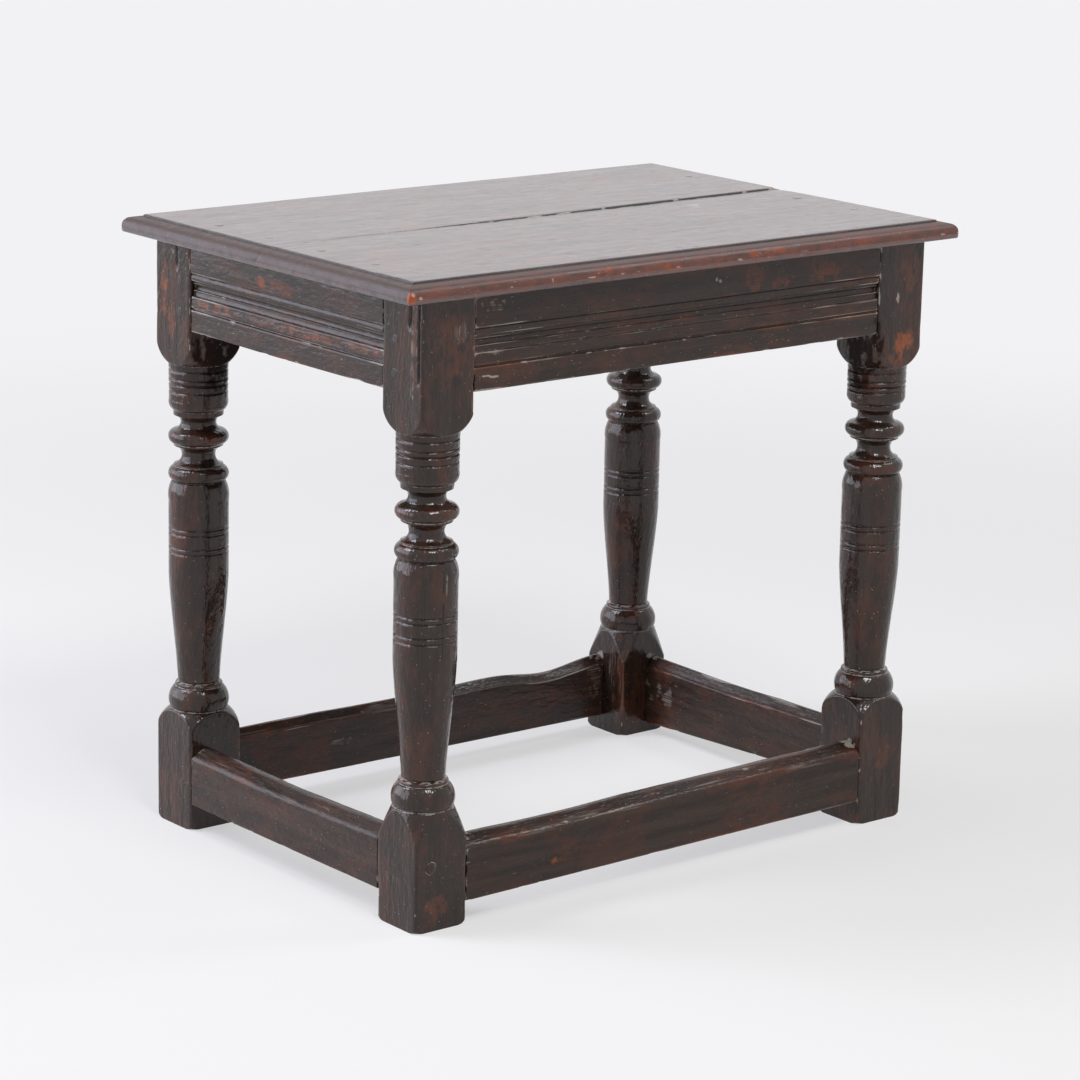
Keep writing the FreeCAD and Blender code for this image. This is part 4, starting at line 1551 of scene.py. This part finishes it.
    def legs(self) -> None:
        """Build the four legs."""
        x = self.reach[Side.RIGHT] - self.square / 2
        y = self.reach[Side.BACK] - self.square / 2
        common = (self.square, self.leg_length)
        gouges = (Split(Side.LEFT, 10.5, 528, 561, 1.3, 3.4),
                  Split(Side.LEFT, 23.0, 482, 561, 1.0, 2.6))
        check = (Split(Side.LEFT, 7.4, 526, 561, 0.9, 2.4),)
        legs = (
            TurnedLeg("leg_front_left", (-x, -y), *common, 78, 29, 0.0, 26, 3, gouges, 1.5),
            TurnedLeg("leg_front_right", (x, -y), *common, 100, 21, 0.11, 18, 5),
            TurnedLeg("leg_back_right", (x, y), *common, 74, 33, 0.0, 33, 7),
            TurnedLeg("leg_back_left", (-x, y), *common, 90, 21, 0.11, 25.5, 11, check,
                      column_scribes=(43, 48, 61, 66)),
        )
        for index, leg in enumerate(legs):
            # Hands and dusters have polished the turnings, so their lights are small and sharp.
            finish = StainedOak("stained_oak_" + leg.name, Grain.ALONG_Z, 3.1 * index,
                                coat=0.8, coat_roughness=0.13, specular=0.05,
                                roughness=(0.28, 0.44))
            self.add("turned_" + leg.name, leg.name, [leg.build()], FRAME_SLOT, finish)

    def add_beam(self, word: str, beam: Beam, offset: float, **looks: object) -> None:
        """Add a rail or stretcher, in stained oak with its grain along the beam.

        Args:
            word: first part of the name of the piece.
            beam: the rail or stretcher.
            offset: where its pattern of grain starts.
            looks: fields in which its finish differs from the usual stained oak.
        """
        grain = Grain.ALONG_Y if beam.side.short else Grain.ALONG_X
        finish = StainedOak("stained_oak_" + beam.name, grain, offset, **looks)
        self.add(word + beam.name, beam.name, [beam.build()], FRAME_SLOT, finish)

    def rails(self) -> None:
        """Build the four moulded rails."""
        for index, side in enumerate(Side):
            rail = MouldedRail("rail_" + side.name.lower(), side, self.shoulder(side),
                               self.reach[side], 21 + index)
            # The rails are waxed but seldom handled, so their lights are soft.
            self.add_beam("moulded_", rail, 2.3 * index, coat=0.45, dents=0.3, lumps=0.3,
                          warmth=0.4)

    def stretchers(self) -> None:
        """Build the four worn stretchers."""
        forms = {
            Side.FRONT: ((20.0, 23.5), (77.0, 80.5), 2.5, (Dip(-120, 60, 1.5),)),
            Side.RIGHT: ((23.5, 10.0), (81.0, 79.5), 8.0, (Dip(30, 70, 1.5),)),
            Side.BACK: ((15.5, 19.0), (79.5, 77.0), 8.0, (Dip(-165, 45, 8.0), Dip(0, 110, 3.0))),
            Side.LEFT: ((25.5, 27.0), (79.0, 82.0), 3.0, (Dip(0, 80, 2.0),)),
        }
        for index, (side, form) in enumerate(forms.items()):
            bar = Stretcher("stretcher_" + side.name.lower(), side, self.shoulder(side),
                            self.reach[side], 31 + index, feet=form[0], tops=form[1],
                            inner_drop=form[2], dips=form[3])
            # Shoes have scuffed the stain of the stretchers to a paler and duller brown.
            self.add_beam("worn_", bar, 4.7 * index, warmth=0.38, stain="#3c2d25",
                          roughness=(0.36, 0.54))

    def top(self) -> None:
        """Build the two boards and the heads of the pegs that hold them."""
        # The wax on the top has bloomed to a grey veil, and its pale grey colours also paint in the
        # grey sheen that the top reflects when seen this low. Its fibres and pores are drawn three
        # times as wide as on the frame, because the low view would lose finer ones.
        waxed = {"deep": "#3a3032", "stain": "#5a4c49", "streak": "#716160", "warm": "#6e443a",
                 "rubbed": "#9a4618", "bare": "#3a2823", "coat": 1.0, "coat_roughness": 0.24,
                 "specular": 0.4, "roughness": (0.34, 0.50), "sheen": 0.08, "dents": 0.12,
                 "lumps": 0.12, "warmth": 0.45, "fibres": 0.35, "fibre": Pattern(60.0, 3.2, 3.0),
                 "pore": Pattern(26.0, 2.2, 2.0), "mottle": Pattern(18.0, 9.0, 3.0)}
        halves = ((-1, "front"), (1, "back"))
        for sign, word in halves:
            board = TopBoard("top_board_" + word, sign, self.top_length, self.top_depth,
                             self.top_low, self.top_thickness, 41 + sign)
            finish = StainedOak("waxed_oak_painted_sheen_" + board.name, Grain.ALONG_X, 1.3 * sign, **waxed)
            self.add("moulded_" + board.name, board.name, [board.build()], TOP_SLOT, finish)
        finish = StainedOak("end_grain_of_top_pegs", Grain.ALONG_Z, **waxed)
        rail_middle = 12.5
        near_share, far_share, faint_rim = 0.134, 0.404, 0.15
        x = self.reach[Side.RIGHT] - rail_middle
        y = self.reach[Side.BACK] - rail_middle
        clear = self.shoulder(Side.LEFT) * 2
        for sign, word in halves:
            places = [(end * x, sign * share * clear, rim)
                      for end, near_rim in ((-1, 0.5 - 0.4 * sign), (1, 0.2))
                      for share, rim in ((near_share, near_rim), (far_share, faint_rim))]
            heads = TopPegHeads("top_pegs_" + word, (*places, (0.0, sign * y, 0.3)),
                                self.top_low + self.top_thickness)
            self.add("heads_of_" + heads.name, heads.name, heads.build(), PEG_SLOT, finish)

    def pegs(self) -> None:
        """Build the heads of the pegs in the legs, and the repair plug."""
        # End grain drinks more stain than the faces, so the heads are the darkest of all.
        finish = StainedOak("end_grain_of_pegs", Grain.ALONG_Z, fibre=Pattern(2.0, 1.1, 3.0),
                            stain="#241a15", streak="#2f221b", roughness=(0.35, 0.5), coat=0.6)
        corners = {
            "front_left": (Side.FRONT, Side.LEFT), "front_right": (Side.RIGHT, Side.FRONT),
            "back_right": (Side.BACK, Side.RIGHT), "back_left": (Side.LEFT, Side.BACK),
        }
        rail_drops, rail_inset = (39, 68), 17
        stretcher_height, stretcher_inset = 43.5, 15
        for index, (corner, sides) in enumerate(corners.items()):
            ends = tuple(zip(sides, (-1, 1)))
            rail = tuple(Peg(side, end * (self.shoulder(side) + rail_inset),
                             self.leg_length - drop) for side, end in ends for drop in rail_drops)
            low = tuple(Peg(side, end * (self.shoulder(side) + stretcher_inset),
                            stretcher_height) for side, end in ends)
            for word, pegs, rim in (("rail_pegs_", rail, 0.1), ("stretcher_pegs_", low, 0.3)):
                heads = PegHeads(word + corner, pegs, self.reach, 51 + index, rim=rim)
                self.add("heads_of_" + heads.name, heads.name, heads.build(), PEG_SLOT, finish)
        plug = Peg(Side.FRONT, 16.5 - self.reach[Side.RIGHT], 58, 6.2)
        heads = PegHeads("repair_plug", (plug,), self.reach, 61, 2.2, 2.2, 1.0, facets=0.0)
        self.add("turned_repair_plug", heads.name, heads.build(), PEG_SLOT, finish)


def main() -> None:
    """Build the studio and the stool."""
    logging.basicConfig(level=logging.INFO, format="%(name)s: %(message)s")
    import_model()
    Studio().build()
    stool = Stool()
    stool.legs()
    stool.rails()
    stool.stretchers()
    stool.top()
    stool.pegs()
    bpy.context.scene.view_settings.view_transform = "Standard"


if __name__ == "__main__":
    main()
